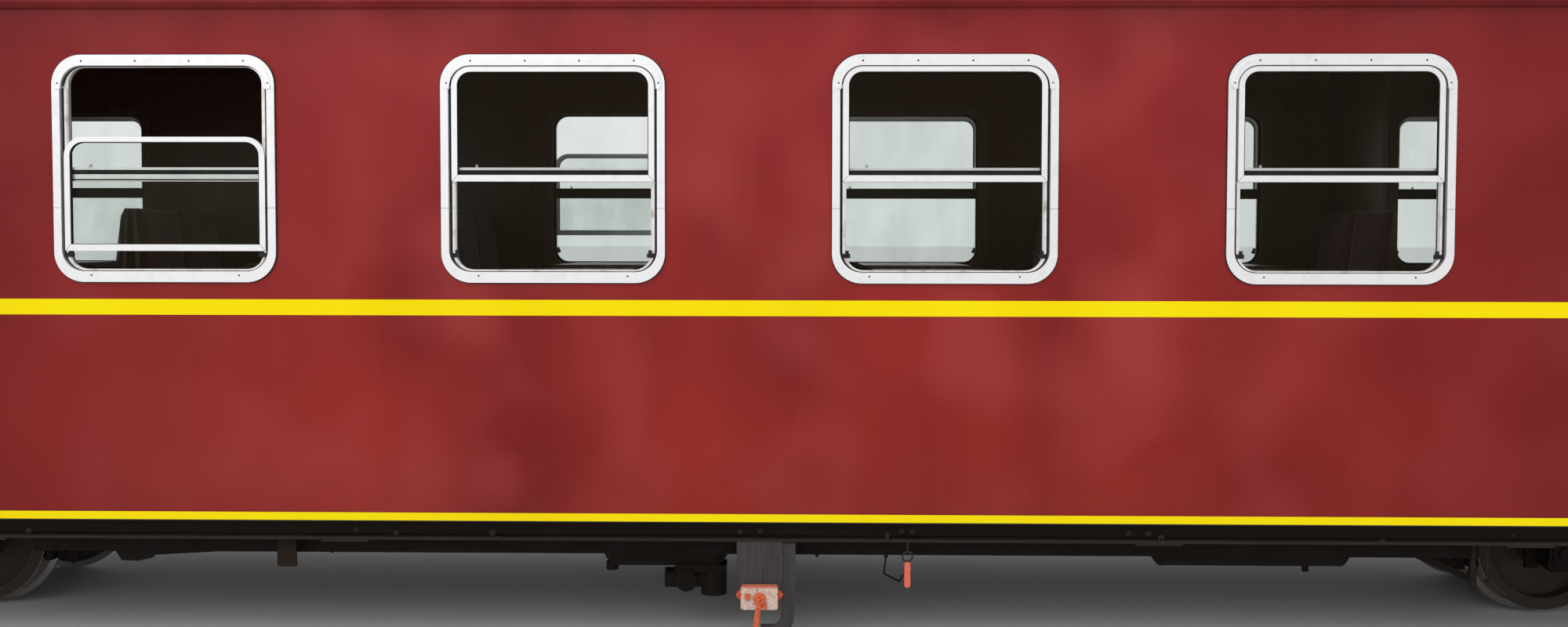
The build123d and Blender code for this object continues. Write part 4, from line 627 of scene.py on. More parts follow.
for side, side_name in SIDES:
    gaskets, mitres = bmesh.new(), bmesh.new()
    for index, x in enumerate(LARGE):
        place = (x, MIDDLE - LOWERED[side_name].get(index, 0.0))
        outer, inner = (sash_line(*edge) for edge in GASKET_EDGES)
        band(gaskets, outer, inner, (WALL + 0.006, WALL - 0.0085), place, side)
        foot = place[1] + SASH_FOOT
        for a in (-1, 1):
            start = Vector((x + a * SASH_WIDE / 2, 0, foot))
            end = Vector((x + a * (SASH_WIDE / 2 - SASH_BANDS[0]), 0, foot + SASH_BANDS[1]))
            square = Vector((end.z - start.z, 0, start.x - end.x)).normalized() * MITRE_HALF
            line = [start - square, start + square, end + square, end - square]
            skin(mitres, [
                [mitres.verts.new((point.x, side * (WALL + y), point.z)) for point in line]
                for y in (0.004, 0.0083)
            ], capped=True)
    fit(f"glass_gaskets_{side_name}", gaskets, rubber)
    fit(f"sash_mitres_{side_name}", mitres, rubber)

# Roof, ends and doors. Steel sheet roof in dusty grey with raised joints over its hoops;
# end walls and doors painted like the sides, with rubber round their fixed panes.
ROOF_EDGE = (1.215, 2.861)
ROOF_CROWN = 3.31
ROOF_END = 6.98
ROOF_RISE = ROOF_CROWN - ROOF_EDGE[1]
ROOF_RADIUS = (ROOF_EDGE[0] ** 2 + ROOF_RISE ** 2) / (2 * ROOF_RISE)
ROOF_MIDDLE = ROOF_CROWN - ROOF_RADIUS
ROOF_SPREAD = math.asin(ROOF_EDGE[0] / ROOF_RADIUS) * 0.985
JOINT_LINES = ((-0.03, -0.002), (-0.03, 0.004), (0.03, 0.004), (0.03, -0.002))
DOOR_FACE = (6.05, 6.09)
DOOR_HINGE_FACE = 6.044
PLATE_THICK = 0.002
END_PANE = (0.44, 0.8)
END_PANE_HEIGHT = 2.18
END_WINDOW = 0.74
GRAB_RAIL = (6.135, 0.43)

wood_grain = Effect("wood_grain", ("Light, Dark", "", "Stretch"), WORN)
fibres = wood_grain.spots(0.006, 4.0, 0.3, 0.7, stretch=wood_grain.given["Stretch"])
growth = wood_grain.spots(0.05, 3.0, 0.35, 0.65, stretch=wood_grain.given["Stretch"])
grain = wood_grain.sums("ADD", wood_grain.times(fibres, 0.45), wood_grain.times(growth, 0.55))
wood_grain.give(
    Colour=wood_grain.tint(grain, wood_grain.given["Light"], wood_grain.given["Dark"]),
    Height=fibres, Roughness=wood_grain.ramp(grain, 0.0, 1.0, 0.3, 0.46),
)

roof = Finish("roof_grey", 0.8, gloss=0.25)
roof_x, roof_y, roof_z = roof.axes()
roof_coat = roof.use(
    cloudy, Colour=(0.135, 0.14, 0.142), Pale=(0.2, 0.2, 0.195),
    Dark=(0.075, 0.074, 0.072), Amount=0.9,
)
roof_streaks = roof.spots(0.03, 3.0, 0.45, 0.75, 0.0, 0.5, stretch=(1, 0.06, 0.06))
roof_dirty = roof.tint(roof_streaks, roof_coat["Colour"], (0.06, 0.052, 0.045))
roof_wood = roof.use(
    wood_grain, Light=(0.17, 0.085, 0.035), Dark=(0.075, 0.032, 0.013), Stretch=(0.06, 1, 1)
)
from_middle = roof.distance(roof_y, roof.sums("SUBTRACT", roof_z, ROOF_MIDDLE))
under_side = roof.times(
    roof.ramp(from_middle, ROOF_RADIUS - 0.018, ROOF_RADIUS - 0.02),
    roof.ramp(roof.size(roof_x), ROOF_END - 0.04, ROOF_END - 0.045),
)
roof.colour(roof.tint(under_side, roof_dirty, roof_wood["Colour"]))
roof.rough(roof.spots(0.1, 4.0, 0.3, 0.7, 0.6, 0.85))
roof.bumps(roof.mottle(0.02, 4.0), 0.0012, 0.4)
roof.coat("roof", "roof_ventilators")

joints = bmesh.new()
for n in range(-3, 4):
    lines = []
    for x, lift in JOINT_LINES:
        reach, turns = ROOF_RADIUS + lift, [ROOF_SPREAD * step / 16 for step in range(-16, 17)]
        lines.append([
            joints.verts.new((
                n * WINDOW_PITCH + x, reach * math.sin(turn), ROOF_MIDDLE + reach * math.cos(turn)
            ))
            for turn in turns
        ])
    strip(joints, lines)
fit("roof_joints", joints, roof, bevel=0.001)

for end, end_name in ((1, "front"), (-1, "rear")):
    wall_seals, door_seals, fittings, rails = (bmesh.new() for _ in range(4))
    outer = rounded(END_PANE[0] + 0.03, END_PANE[1] + 0.03, 0.075)
    inner = rounded(END_PANE[0] - 0.024, END_PANE[1] - 0.024, 0.05)
    for y, depth in product((-END_WINDOW, END_WINDOW), (-0.004, 0.056)):
        xs = (depth - WALL_HALF, depth - WALL_HALF + 0.008)
        band(wall_seals, outer, inner, xs, (y, END_PANE_HEIGHT))
    for x in (DOOR_FACE[1] - 0.003, DOOR_FACE[0] - 0.003):
        band(door_seals, outer, inner, (-x, -x - 0.006), (0, END_PANE_HEIGHT))
    for mesh in (wall_seals, door_seals):
        turn = Matrix.Rotation(math.radians(90 * end), 3, "Z")
        bmesh.ops.rotate(mesh, cent=(0, 0, 0), matrix=turn, verts=mesh.verts)
    door = f"end_door_{end_name}"
    fit(f"end_window_seals_{end_name}", wall_seals, rubber, bevel=0.0015)
    fit(f"door_window_seals_{end_name}", door_seals, rubber, door, 0.001)

    for y, z, lift in product((0.31, 0.332), (1.25, 1.9, 2.55), (-0.02, 0.02)):
        dome(fittings, (end * DOOR_HINGE_FACE, y, z + lift), (-end, 0, 0), 0.0045, 0.0015)
    for x in (DOOR_FACE[1], DOOR_FACE[0] - PLATE_THICK):
        block(fittings, (end * x, end * (x + PLATE_THICK)), (-0.33, 0.28), (0.97, 1.17))
    block(
        fittings, (end * DOOR_FACE[1], end * (DOOR_FACE[1] + 0.0035)), (-0.312, -0.272), (1.9, 2.06)
    )
    for y, z in product((-0.31, -0.1, 0.1, 0.26), (0.985, 1.155)):
        dome(fittings, (end * (DOOR_FACE[1] + PLATE_THICK), y, z), (end, 0, 0), 0.005, 0.002)
    fit(f"door_fittings_{end_name}", fittings, screw_steel, door, 0.0006)
    bar_x = end * GRAB_RAIL[0]
    for y in (-GRAB_RAIL[1], GRAB_RAIL[1]):
        rod(rails, (bar_x, y, 1.55), (bar_x, y, 2.25), 0.012, 16)
        for z in (1.56, 2.24):
            rod(rails, (end * WALL_HALF, y, z), (bar_x, y, z), 0.01)
            dome(rails, (end * WALL_HALF, y, z), (end, 0, 0), 0.026, 0.004, 20)
    fit(f"end_grab_rails_{end_name}", rails, alloy)

# Inside. Walls and partitions in varnished panels with mouldings and window trims, a
# worn brown floor covering, plain white galley units and varnished table tops.
INNER = 1.14
FRONT_PARTITION = (3.395, 3.435)
ROOM_ENDS = (-5.06, 5.095)
TABLE_REACH = ((-1, 0.48), (1, 0.88))
TABLE_WIDE = 0.583
TABLE_EDGE = (1.669, 1.6945, 1.6956, 1.6662)
panel = Finish("wood_panel", 0.4, gloss=0.4)
panel.wear(
    wood_grain, 0.0003, 0.4, Light=(0.155, 0.07, 0.028), Dark=(0.07, 0.028, 0.011),
    Stretch=(1, 1, 0.07),
)
panel.coat("partitions")
table = Finish("table_top", 0.35, gloss=0.45)
table.wear(
    wood_grain, 0.0002, 0.3, Light=(0.3, 0.16, 0.07), Dark=(0.15, 0.07, 0.028),
    Stretch=(1, 0.08, 1),
)
table.coat("tables")

cover = Finish("floor_board", 0.6, gloss=0.3)
worn = cover.spots(0.3, 5.0, 0.4, 0.7, stretch=(0.5, 1, 1))
specks = cover.spots(0.006, 2.0, 0.5, 0.7, 0.0, 0.6)
covering = cover.tint(worn, (0.05, 0.035, 0.025), (0.085, 0.065, 0.05))
cover.colour(cover.tint(specks, covering, (0.12, 0.1, 0.08)))
cover.rough(cover.ramp(worn, 0.0, 1.0, 0.5, 0.75))
cover.coat("floor")

laminate = Finish("galley_white", 0.35, gloss=0.4)
yellowed = laminate.spots(0.2, 5.0, 0.45, 0.8, 0.0, 0.6)
laminate.colour(laminate.tint(yellowed, (0.6, 0.59, 0.54), (0.45, 0.42, 0.36)))
laminate.rough(laminate.spots(0.05, 4.0, 0.3, 0.7, 0.28, 0.42))
laminate.coat("galley_fittings")

trims, mouldings, galley_doors, table_edges = (bmesh.new() for _ in range(4))
saloon, galley = (ROOM_ENDS[0], FRONT_PARTITION[0]), (FRONT_PARTITION[1], ROOM_ENDS[1])
for side in (-1, 1):
    for x, size in WINDOWS:
        outer, inner = inset(size, -0.014, -0.014, 0.14), inset(size, 0.046, 0.042, 0.088)
        band(trims, outer, inner, (INNER + 0.0095, INNER - 0.006), (x, MIDDLE), side)
    for (z, deep), xs in product(((1.56, 0.008), (2.79, 0.012)), (saloon, galley)):
        block(mouldings, xs, (INNER, INNER - deep), (z, z + 0.045), side)
    block(mouldings, saloon, (INNER, INNER - 0.01), (0.941, 1.03), side)
fit("inner_window_trims", trims, panel, bevel=0.002)
fit("inner_mouldings", mouldings, panel, bevel=0.002)
for n in range(4):
    x = 3.43 + 0.4175 * n
    block(galley_doors, (x + 0.005, x + 0.4125), (-0.5612, -0.5575), (0.99, 1.78))
    rod(galley_doors, (x + 0.15, -0.548, 1.72), (x + 0.27, -0.548, 1.72), 0.005)
for n in range(2):
    x = 4.5 + 0.3 * n
    for z in ((0.98, 1.8), (1.81, 2.67)):
        block(galley_doors, (x + 0.004, x + 0.296), (0.5565, 0.5602), z)
    pull_x = x + 0.04 + 0.22 * (1 - n)
    rod(galley_doors, (pull_x, 0.547, 1.6), (pull_x, 0.547, 1.75), 0.005)
fit("galley_doors", galley_doors, laminate, bevel=0.0012)

for x, (side, reach_out) in product(LARGE[:5], TABLE_REACH):
    middle_y = side * (INNER - reach_out / 2)
    outer = rounded(TABLE_WIDE, reach_out + 0.003, 0.0415)
    inner = rounded(TABLE_WIDE - 0.011, reach_out - 0.008, 0.036)
    rings = [
        [table_edges.verts.new((x + a, middle_y + b, z)) for a, b in line]
        for line, z in zip((outer, outer, inner, inner), TABLE_EDGE)
    ]
    skin(table_edges, rings + rings[:1])
for corner in table_edges.verts:
    corner.co.y = max(-INNER + 0.0005, min(INNER - 0.0005, corner.co.y))
fit("table_edges", table_edges, panel)

# Seats. Sprung cushions and backs in dark red woven cloth with piped edges, on stained
# wooden bench frames, single by the near wall and double by the far one.
SEAT_TOP = 1.38
SEAT_FRONT = 0.352
SEAT_LONG = 0.358
SEAT_DEEP = 0.098
BACK_FOOT = 0.714
BACK_TALL = 0.615
BACK_DEEP = 0.05
BACK_LEAN = math.radians(7.3)
CUSHION_ROWS = {"near": ((-1.135, 0.49),), "far": ((0.175, 0.47), (0.655, 0.47))}
CUSHION_GAP = 0.002
SEAT_RIM = (0.356, 0.704)
BACK_RIM = (0.012, 0.6)
BENCH_BOARDS = (
    ((0.4, 0.416), (0.941, 1.27)), ((0.36, 0.79), (1.271, 1.284)), ((0.744, 0.76), (0.941, 1.27)),
)
BENCH_BACK = ((0.774, 1.285), (0.811, 1.285), (0.8385, 1.998), (0.818, 1.998))
AIR_PRESSURE = 4.0
AIR_FRAMES = 20
SWELL_MOST = 0.014
THREADS = 900
cloth = Finish("seat_cloth", 0.9, gloss=0.15)
cloth_x, cloth_y, cloth_z = cloth.axes()
warp = cloth.sums("SINE", cloth.times(cloth_y, THREADS))
weft = cloth.sums("SINE", cloth.times(cloth.sums("ADD", cloth_x, cloth_z), THREADS))
weave = cloth.ramp(cloth.times(warp, weft), -1.0, 1.0)
faded = cloth.spots(0.16, 4.0, 0.4, 0.72)
dyed = cloth.tint(faded, (0.09, 0.011, 0.012), (0.15, 0.03, 0.026))
cloth.colour(cloth.tint(cloth.times(weave, 0.35), dyed, (0.04, 0.006, 0.007)))
cloth.shader["Sheen Weight"].default_value = 0.25
cloth.bumps(weave, 0.0006, 0.5)


def bake(piece):
    """Applies a piece's modifiers to its mesh."""
    bpy.context.view_layer.update()
    shown = piece.evaluated_get(bpy.context.evaluated_depsgraph_get())
    fixed = bpy.data.meshes.new_from_object(shown)
    piece.modifiers.clear()
    old = piece.data
    piece.data = fixed
    bpy.data.meshes.remove(old)


def cushion_form(name, size, edge):
    """A cushion's closed form: a rounded block, swollen by air as cloth, its swell capped, then
    thinned out.
    """
    form = bmesh.new()
    bmesh.ops.create_cube(form, size=1.0)
    bmesh.ops.scale(form, vec=size, verts=form.verts)
    bmesh.ops.bevel(
        form, geom=form.edges[:], offset=edge, segments=3, affect="EDGES", profile=0.5
    )
    data = bpy.data.meshes.new(name)
    form.to_mesh(data)
    form.free()
    pad = add(name, data)
    fine = pad.modifiers.new("grid", "REMESH")
    fine.mode = "VOXEL"
    fine.voxel_size = 0.012
    bake(pad)
    start = [corner.co.copy() for corner in pad.data.vertices]
    air = pad.modifiers.new("air", "CLOTH")
    air.settings.use_pressure = True
    air.settings.uniform_pressure_force = AIR_PRESSURE
    air.settings.effector_weights.gravity = 0.0
    air.point_cache.frame_end = AIR_FRAMES
    for step in range(1, AIR_FRAMES + 1):
        stage.frame_set(step)
    bake(pad)
    stage.frame_set(1)
    for corner, was in zip(pad.data.vertices, start):
        moved = corner.co - was
        if moved.length > SWELL_MOST:
            corner.co = was + moved * (SWELL_MOST / moved.length)
    fewer = pad.modifiers.new("fewer", "DECIMATE")
    fewer.ratio = 0.2
    bake(pad)
    return pad


def cushion_set(name, pattern, places, x, z):
    """Copies of one cushion joined into a piece, each scaled to its room's ranges."""
    form = [corner.co for corner in pattern.data.vertices]
    low, high = (
        [edge(corner[n] for corner in form) for n in range(3)] for edge in (min, max)
    )
    joined = bmesh.new()
    for turn, width in places:
        copy = pattern.data.copy()
        for corner in copy.vertices:
            share = [(corner.co[n] - low[n]) / (high[n] - low[n]) for n in range(3)]
            corner.co = turn @ Vector((
                x[0] + share[0] * (x[1] - x[0]), share[1] * width, z[0] + share[2] * (z[1] - z[0])
            ))
        joined.from_mesh(copy)
        bpy.data.meshes.remove(copy)
    piece = fit(name, joined, cloth)
    smooth = piece.modifiers.new("smooth", "SUBSURF")
    smooth.levels = smooth.render_levels = 1
    bake(piece)
    piece.data.polygons.foreach_set("use_smooth", [True] * len(piece.data.polygons))


def piping(mesh, matrix, x, y, z, radius=0.004, sides=6):
    """A thin welt round the rim of a cushion's face, with rounded corners."""
    line = rounded(x[1] - x[0], y[1] - y[0], 0.03, 4)
    rings = []
    for n, (a, b) in enumerate(line):
        along = (Vector(line[(n + 1) % len(line)]) - Vector(line[n - 1])).normalized()
        out, rise = Vector((along.y, -along.x, 0)), Vector((0, 0, 1))
        centre = Vector((sum(x) / 2 + a, sum(y) / 2 + b, z))
        turns = (2 * math.pi * step / sides for step in range(sides))
        reaches = (out * math.cos(turn) + rise * math.sin(turn) for turn in turns)
        rings.append([mesh.verts.new(matrix @ (centre + radius * reach)) for reach in reaches])
    skin(mesh, rings + rings[:1])


seat_pad = cushion_form("seat_pad", (0.34, 0.46, 0.075), 0.022)
back_pad = cushion_form("back_pad", (0.034, 0.46, 0.565), 0.014)
for row_name, rows in CUSHION_ROWS.items():
    seat_places, back_places = [], []
    welts, bench_wood = bmesh.new(), bmesh.new()
    bench_ends = (rows[0][0], sum(rows[-1]))
    for bay in LARGE[:5]:
        for way in (-1, 1):
            for low_y, width in rows:
                corner = Matrix.Translation((bay, low_y + CUSHION_GAP, 0))
                here = corner @ Matrix.Diagonal((way, 1, 1, 1))
                foot = Matrix.Translation((BACK_FOOT, 0, SEAT_TOP + 0.004))
                lean = here @ foot @ Matrix.Rotation(BACK_LEAN, 4, "Y")
                seat_places.append((here, width - 2 * CUSHION_GAP))
                back_places.append((lean, width - 2 * CUSHION_GAP))
                rim = (0.006, width - 0.01)
                piping(welts, here, SEAT_RIM, rim, SEAT_TOP - 0.026)
                facing = lean @ Matrix.Rotation(math.radians(-90), 4, "Y")
                piping(welts, facing, BACK_RIM, rim, -0.012)
            for x, z in BENCH_BOARDS:
                block(bench_wood, [bay + way * a for a in x], bench_ends, z)
            skin(bench_wood, [
                [bench_wood.verts.new((bay + way * a, y, b)) for a, b in BENCH_BACK]
                for y in bench_ends
            ], capped=True)
    cushion_set(
        f"seat_cushions_{row_name}", seat_pad, seat_places,
        (SEAT_FRONT, SEAT_FRONT + SEAT_LONG), (SEAT_TOP - SEAT_DEEP, SEAT_TOP),
    )
    cushion_set(
        f"back_cushions_{row_name}", back_pad, back_places, (0.0, BACK_DEEP), (0.0, BACK_TALL)
    )
    fit(f"seat_piping_{row_name}", welts, cloth)
    frame_piece = fit(f"bench_frames_{row_name}", bench_wood, panel, bevel=0.002)
    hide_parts("seats")
for pattern in (seat_pad, back_pad):
    bpy.data.objects.remove(pattern)

# Underframe. Rolled and pressed steel in near-black paint under brown brake dust, held
# with rivets and hexagon bolts; the solebars' lower web and flange are painted lighter, partly
# dust and partly painted light, and the frame is painted darker inward as painted shade.
SOLEBAR_FACE = 1.18
BOLT_SEAT = SOLEBAR_FACE - 0.001
SOLEBAR_BOLTS = (
    (-3.194, 0.538, 0.014), (-1.732, 0.55, 0.012), (-1.556, 0.535, 0.013), (-1.129, 0.539, 0.015),
    (-0.036, 0.549, 0.011), (0.052, 0.552, 0.011), (0.672, 0.555, 0.012), (0.72, 0.555, 0.012),
    (1.664, 0.55, 0.012), (1.75, 0.55, 0.012), (3.331, 0.55, 0.006), (-4.2, 0.536, 0.013),
    (4.45, 0.536, 0.013), (5.3, 0.536, 0.013), (-5.4, 0.536, 0.013),
)
HANGER_BOLTS = (-3.4, -1.784, 1.797, 3.408)
SOLEBAR_CLIPS = (
    (-1.129, 0.041, 0.509, 0.5235), (0.607, 0.009, 0.512, 0.552), (2.76, 0.012, 0.512, 0.531),
)
HEADSTOCK_FACE = 6.95
RIVET_PITCH = 0.21
grimy = Effect("grimy_steel", ("Colour, Dust, Rust", "Amount"), WORN)
settled = grimy.spots(0.14, 5.0, 0.35, 0.75)
scabs = grimy.spots(0.018, 5.0, 0.58, 0.72)
dusty = grimy.tint(
    grimy.times(settled, grimy.given["Amount"]), grimy.given["Colour"], grimy.given["Dust"]
)
grimy.give(
    Colour=grimy.tint(grimy.times(scabs, 0.55), dusty, grimy.given["Rust"]),
    Roughness=grimy.ramp(settled, 0.0, 1.0, 0.5, 0.85),
    Height=grimy.sums("ADD", scabs, grimy.times(grimy.mottle(0.006, 3.0), 0.5)),
)
black = Finish("underframe_black", 0.75, gloss=0.1)
black_y, black_z = black.axes()[1:]
black_grime = black.wear(
    grimy, 0.0006, 0.5, Colour=(0.0185, 0.0132, 0.0098), Dust=(0.038, 0.027, 0.0195),
    Rust=(0.05, 0.025, 0.014), Amount=0.45,
)
black_out = black.size(black_y)
# Painted shade: the underframe is painted darker inward from the solebars, under the body.
inward_shade = black.ramp(black_out, 1.12, 1.035, 0.0, 0.62)
shaded_inward = black.tint(inward_shade, black_grime, (0.0042, 0.0026, 0.002))
# The lower solebar web is painted lighter, partly dust and partly painted light where the body's
# overhang shades it less.
on_web = black.times(black.ramp(black_out, 1.174, 1.177), black.ramp(black_out, 1.1835, 1.1815))
web_light_and_dust = black.times(on_web, black.ramp(black_z, 0.572, 0.524, 0.0, 0.9))
lit_dusty_web = black.tint(web_light_and_dust, shaded_inward, (0.046, 0.034, 0.0265))
# The top of the lower flange is painted lighter in patches, partly dust and partly painted light
# from the sky.
flange = black.times(black.ramp(black_out, 1.182, 1.186), black.ramp(black_z, 0.524, 0.518))
flange_spots = black.spots(0.2, 4.0, 0.3, 0.7, 0.45, 0.95, stretch=(0.4, 1, 1))
flange_light_and_dust = black.times(flange, flange_spots)
black.colour(black.tint(flange_light_and_dust, lit_dusty_web, (0.031, 0.0235, 0.0185)))
black.coat(
    "centre_sills", "cross_bearers", "body_bolsters", "side_beams", "headstocks",
    "coupler_pockets", "solebars", "coupler_front", "coupler_rear", "brake_pipe_ends", "air_tanks",
    "control_valve", "brake_cylinder", "equipment_hangers", "bogie_frame_front",
    "bogie_frame_rear", "bogie_bolster_front", "bogie_bolster_rear", "axle_boxes_front",
    "axle_boxes_rear", "brake_gear_front", "brake_gear_rear",
)


def bolt(mesh, centre, axis, size, washer=True):
    """A hexagon bolt head on a washer."""
    centre, axis = Vector(centre), Vector(axis)
    if washer:
        dome(mesh, centre, axis, size * 0.95, size * 0.12, 16)
    dome(mesh, centre + axis * size * 0.1, axis, size * 0.62, size * 0.42, 6)


sole_bolts, rivets = bmesh.new(), bmesh.new()
for side in (-1, 1):
    for x, z, size in SOLEBAR_BOLTS:
        bolt(sole_bolts, (-side * x, side * BOLT_SEAT, z), (0, side, 0), size)
    nut = Vector((-side * 1.806, side * BOLT_SEAT, 0.53))
    bolt(sole_bolts, nut, (0, side, 0), 0.0145)
    rod(sole_bolts, nut, nut + Vector((0, side * 0.013, 0)), 0.0045, 8)
    for x, a in product(HANGER_BOLTS, (-0.085, -0.035, 0.035, 0.085)):
        bolt(sole_bolts, (-side * (x + a), side * 1.15, 0.4975), (0, 0, -1), 0.011, False)
    for x, half, low, high in SOLEBAR_CLIPS:
        xs = (-side * x - half, -side * x + half)
        block(sole_bolts, xs, (BOLT_SEAT, 1.1925), (low, high), side)
fit("solebar_bolts", sole_bolts, black, bevel=0.0006)

for end in (-1, 1):
    for n, z in product((-5, -4, -3, -2, -1, 2, 3, 4, 5), (0.84, 0.72)):
        place = (end * HEADSTOCK_FACE, n * RIVET_PITCH, z)
        dome(rivets, place, (end, 0, 0), 0.011, 0.007, 10)
    for y, z in product((-0.2, 0.2), (0.565, 0.735)):
        bolt(rivets, (end * HEADSTOCK_FACE, y, z), (end, 0, 0), 0.016)
    for side, x in product((-1, 1), (6.3, 6.45, 6.6, 6.75)):
        dome(rivets, (end * x, side * 1.15, 0.84), (0, side, 0), 0.009, 0.006, 10)
fit("frame_rivets", rivets, black)

# Under-floor equipment. Tanks with welded seams and straps, a cast valve, and the brake
# changeover: a grey plate with a white box and an orange lever, behind a grey guard bar.
TANKS = ((-0.7, -0.095, 0.125), (1.832, 2.768, 0.113))
TANK_AXIS = (0.83, 0.443)
SEAM_SHAPE = ((-0.002, -0.006), (0.0022, 0.0), (-0.002, 0.006))
SEAM_SIDES = 40
GUARD_MIDDLE = 0.1785
BOX_MIDDLE = 0.049
BOX_FACE = 1.188 + 0.034
LEVER_PIVOT = (0.05, 1.232, 0.264)
ORANGE = (0.6, 0.085, 0.022)
RUST = (0.055, 0.02, 0.01)
seams = bmesh.new()
for side, (low, high, radius) in product((-1, 1), TANKS):
    for x in (low + radius * 0.45 + 0.012, high - radius * 0.45 - 0.012):
        rings = []
        for reach, shift in SEAM_SHAPE:
            centre = Vector((-side * (x + shift), side * TANK_AXIS[0], TANK_AXIS[1]))
            rings.append(circle(seams, centre, Vector((1, 0, 0)), radius + reach, SEAM_SIDES))
        skin(seams, rings + rings[:1])
fit("tank_seams", seams, black)

grey = Finish("plate_grey", 0.55, gloss=0.35)
grey_along = grey.size(grey.axes()[0])
grey_smears = grey.spots(0.018, 3.0, 0.35, 0.7, stretch=(1, 1, 0.06))
grey_base = grey.tint(grey_smears, (0.03, 0.0255, 0.026), (0.053, 0.0465, 0.048))
grey_blots = grey.spots(0.04, 5.0, 0.58, 0.72, 0.0, 0.6)
grey_marked = grey.tint(grey_blots, grey_base, (0.03, 0.02, 0.015))
from_guard = grey.size(grey.sums("SUBTRACT", grey_along, GUARD_MIDDLE))
guard_edge = grey.times(grey.ramp(grey_along, 0.1495, 0.15), grey.ramp(from_guard, 0.02, 0.028))
edge_grime = grey.times(guard_edge, grey.spots(0.03, 4.0, 0.3, 0.6, 0.2, 0.9))
grey.colour(grey.tint(edge_grime, grey_marked, (0.042, 0.03, 0.02)))
grey.rough(grey.ramp(grey_smears, 0.0, 1.0, 0.42, 0.62))
grey.bumps(grey.mottle(0.012, 4.0), 0.0006, 0.4)
grey.coat("changeover_plates")

chipped = Effect("chipped_paint", ("Colour, Second, Bare", "Second Amount, Chips"), WORN)
second_mask = chipped.times(chipped.spots(0.012, 5.0, 0.42, 0.62), chipped.given["Second Amount"])
chip_mask = chipped.times(chipped.spots(0.009, 6.0, 0.6, 0.66), chipped.given["Chips"])
two_coats = chipped.tint(second_mask, chipped.given["Colour"], chipped.given["Second"])
chipped.give(
    Colour=chipped.tint(chip_mask, two_coats, chipped.given["Bare"]),
    Roughness=chipped.ramp(chip_mask, 0.0, 1.0, 0.42, 0.85),
    Height=chipped.sums("SUBTRACT", 1.0, chip_mask),
)

box = Finish("box_white", 0.5, gloss=0.35)
box_x, box_y, box_z = box.axes()
box_along = box.times(box_x, box.times(box.sums("SIGN", box_y), -1.0))
on_ears = box.ramp(box.size(box.sums("SUBTRACT", box_along, BOX_MIDDLE)), 0.078, 0.083)
near_rim = box.ramp(box_z, 0.306, 0.314, 0.0, 0.8)
box_coat = box.wear(
    chipped, 0.0005, 0.6, Colour=(0.64, 0.57, 0.47), Second=ORANGE, Bare=RUST,
    Second_Amount=0.4, Chips=0.85,
)
box.colour(box.tint(box.sums("MAXIMUM", on_ears, near_rim), box_coat, ORANGE))
box.coat("changeover_boxes")

lever = Finish("lever_orange", 0.45, gloss=0.4)
lever.wear(
    chipped, 0.0005, 0.6, Colour=ORANGE, Second=(0.75, 0.2, 0.08), Bare=RUST,
    Second_Amount=0.7, Chips=0.9,
)
lever.coat("changeover_levers")

tag = Finish("tag_coral", 0.45, gloss=0.4)
tag_coat = tag.wear(
    chipped, 0.0004, 0.5, Colour=(0.78, 0.12, 0.06), Second=(0.85, 0.2, 0.11), Bare=RUST,
    Second_Amount=0.6, Chips=0.5,
)
on_wire = tag.ramp(tag.axes()[2], 0.411, 0.413)
tag.colour(tag.tint(on_wire, tag_coat, (0.016, 0.012, 0.01)))
tag.coat("release_pulls")

lever_bosses, box_fittings = bmesh.new(), bmesh.new()
for side in (-1, 1):
    for a, b, wide in ((-0.003, 0.2755, 0.024), (0.072, 0.232, 0.02)):
        x = -side * a
        xs, zs = (x - wide / 2, x + wide / 2), (b - wide / 2, b + wide / 2)
        block(box_fittings, xs, (BOX_FACE, BOX_FACE + 0.012), zs, side)
    for a in (-0.042, 0.141):
        bolt(box_fittings, (-side * a, side * 1.2, 0.2755), (0, side, 0), 0.012)
    pivot = Vector((-side * LEVER_PIVOT[0], side * LEVER_PIVOT[1], LEVER_PIVOT[2]))
    dome(lever_bosses, pivot, (0, side, 0), 0.0265, 0.0025, 24)
    dome(lever_bosses, pivot + Vector((0, side * 0.002, 0)), (0, side, 0), 0.013, 0.0032, 6)
fit("box_fittings", box_fittings, lever, bevel=0.001)
fit("lever_bosses", lever_bosses, lever)

# Bogies and wheels. Plate frames with bolts and rivets, laminated springs with clips, and
# rolled wheels with a rust film on the web and a tread run bright by the rails.
WHEELBASE = 1.3
PIVOT = 4.5
AXLE_HEIGHT = 0.351
BOGIE_FACE = 0.572
BOX_COVER_FACE = 0.668
SPRING_FACES = (0.5885, 0.6515)
spring = Finish("spring_steel", 0.5, metal=0.35, gloss=0.4)
spring.wear(
    grimy, 0.0005, 0.5, Colour=(0.02, 0.017, 0.015), Dust=(0.06, 0.045, 0.033),
    Rust=(0.07, 0.03, 0.015), Amount=0.7,
)
spring.coat("bogie_springs_front", "bogie_springs_rear")

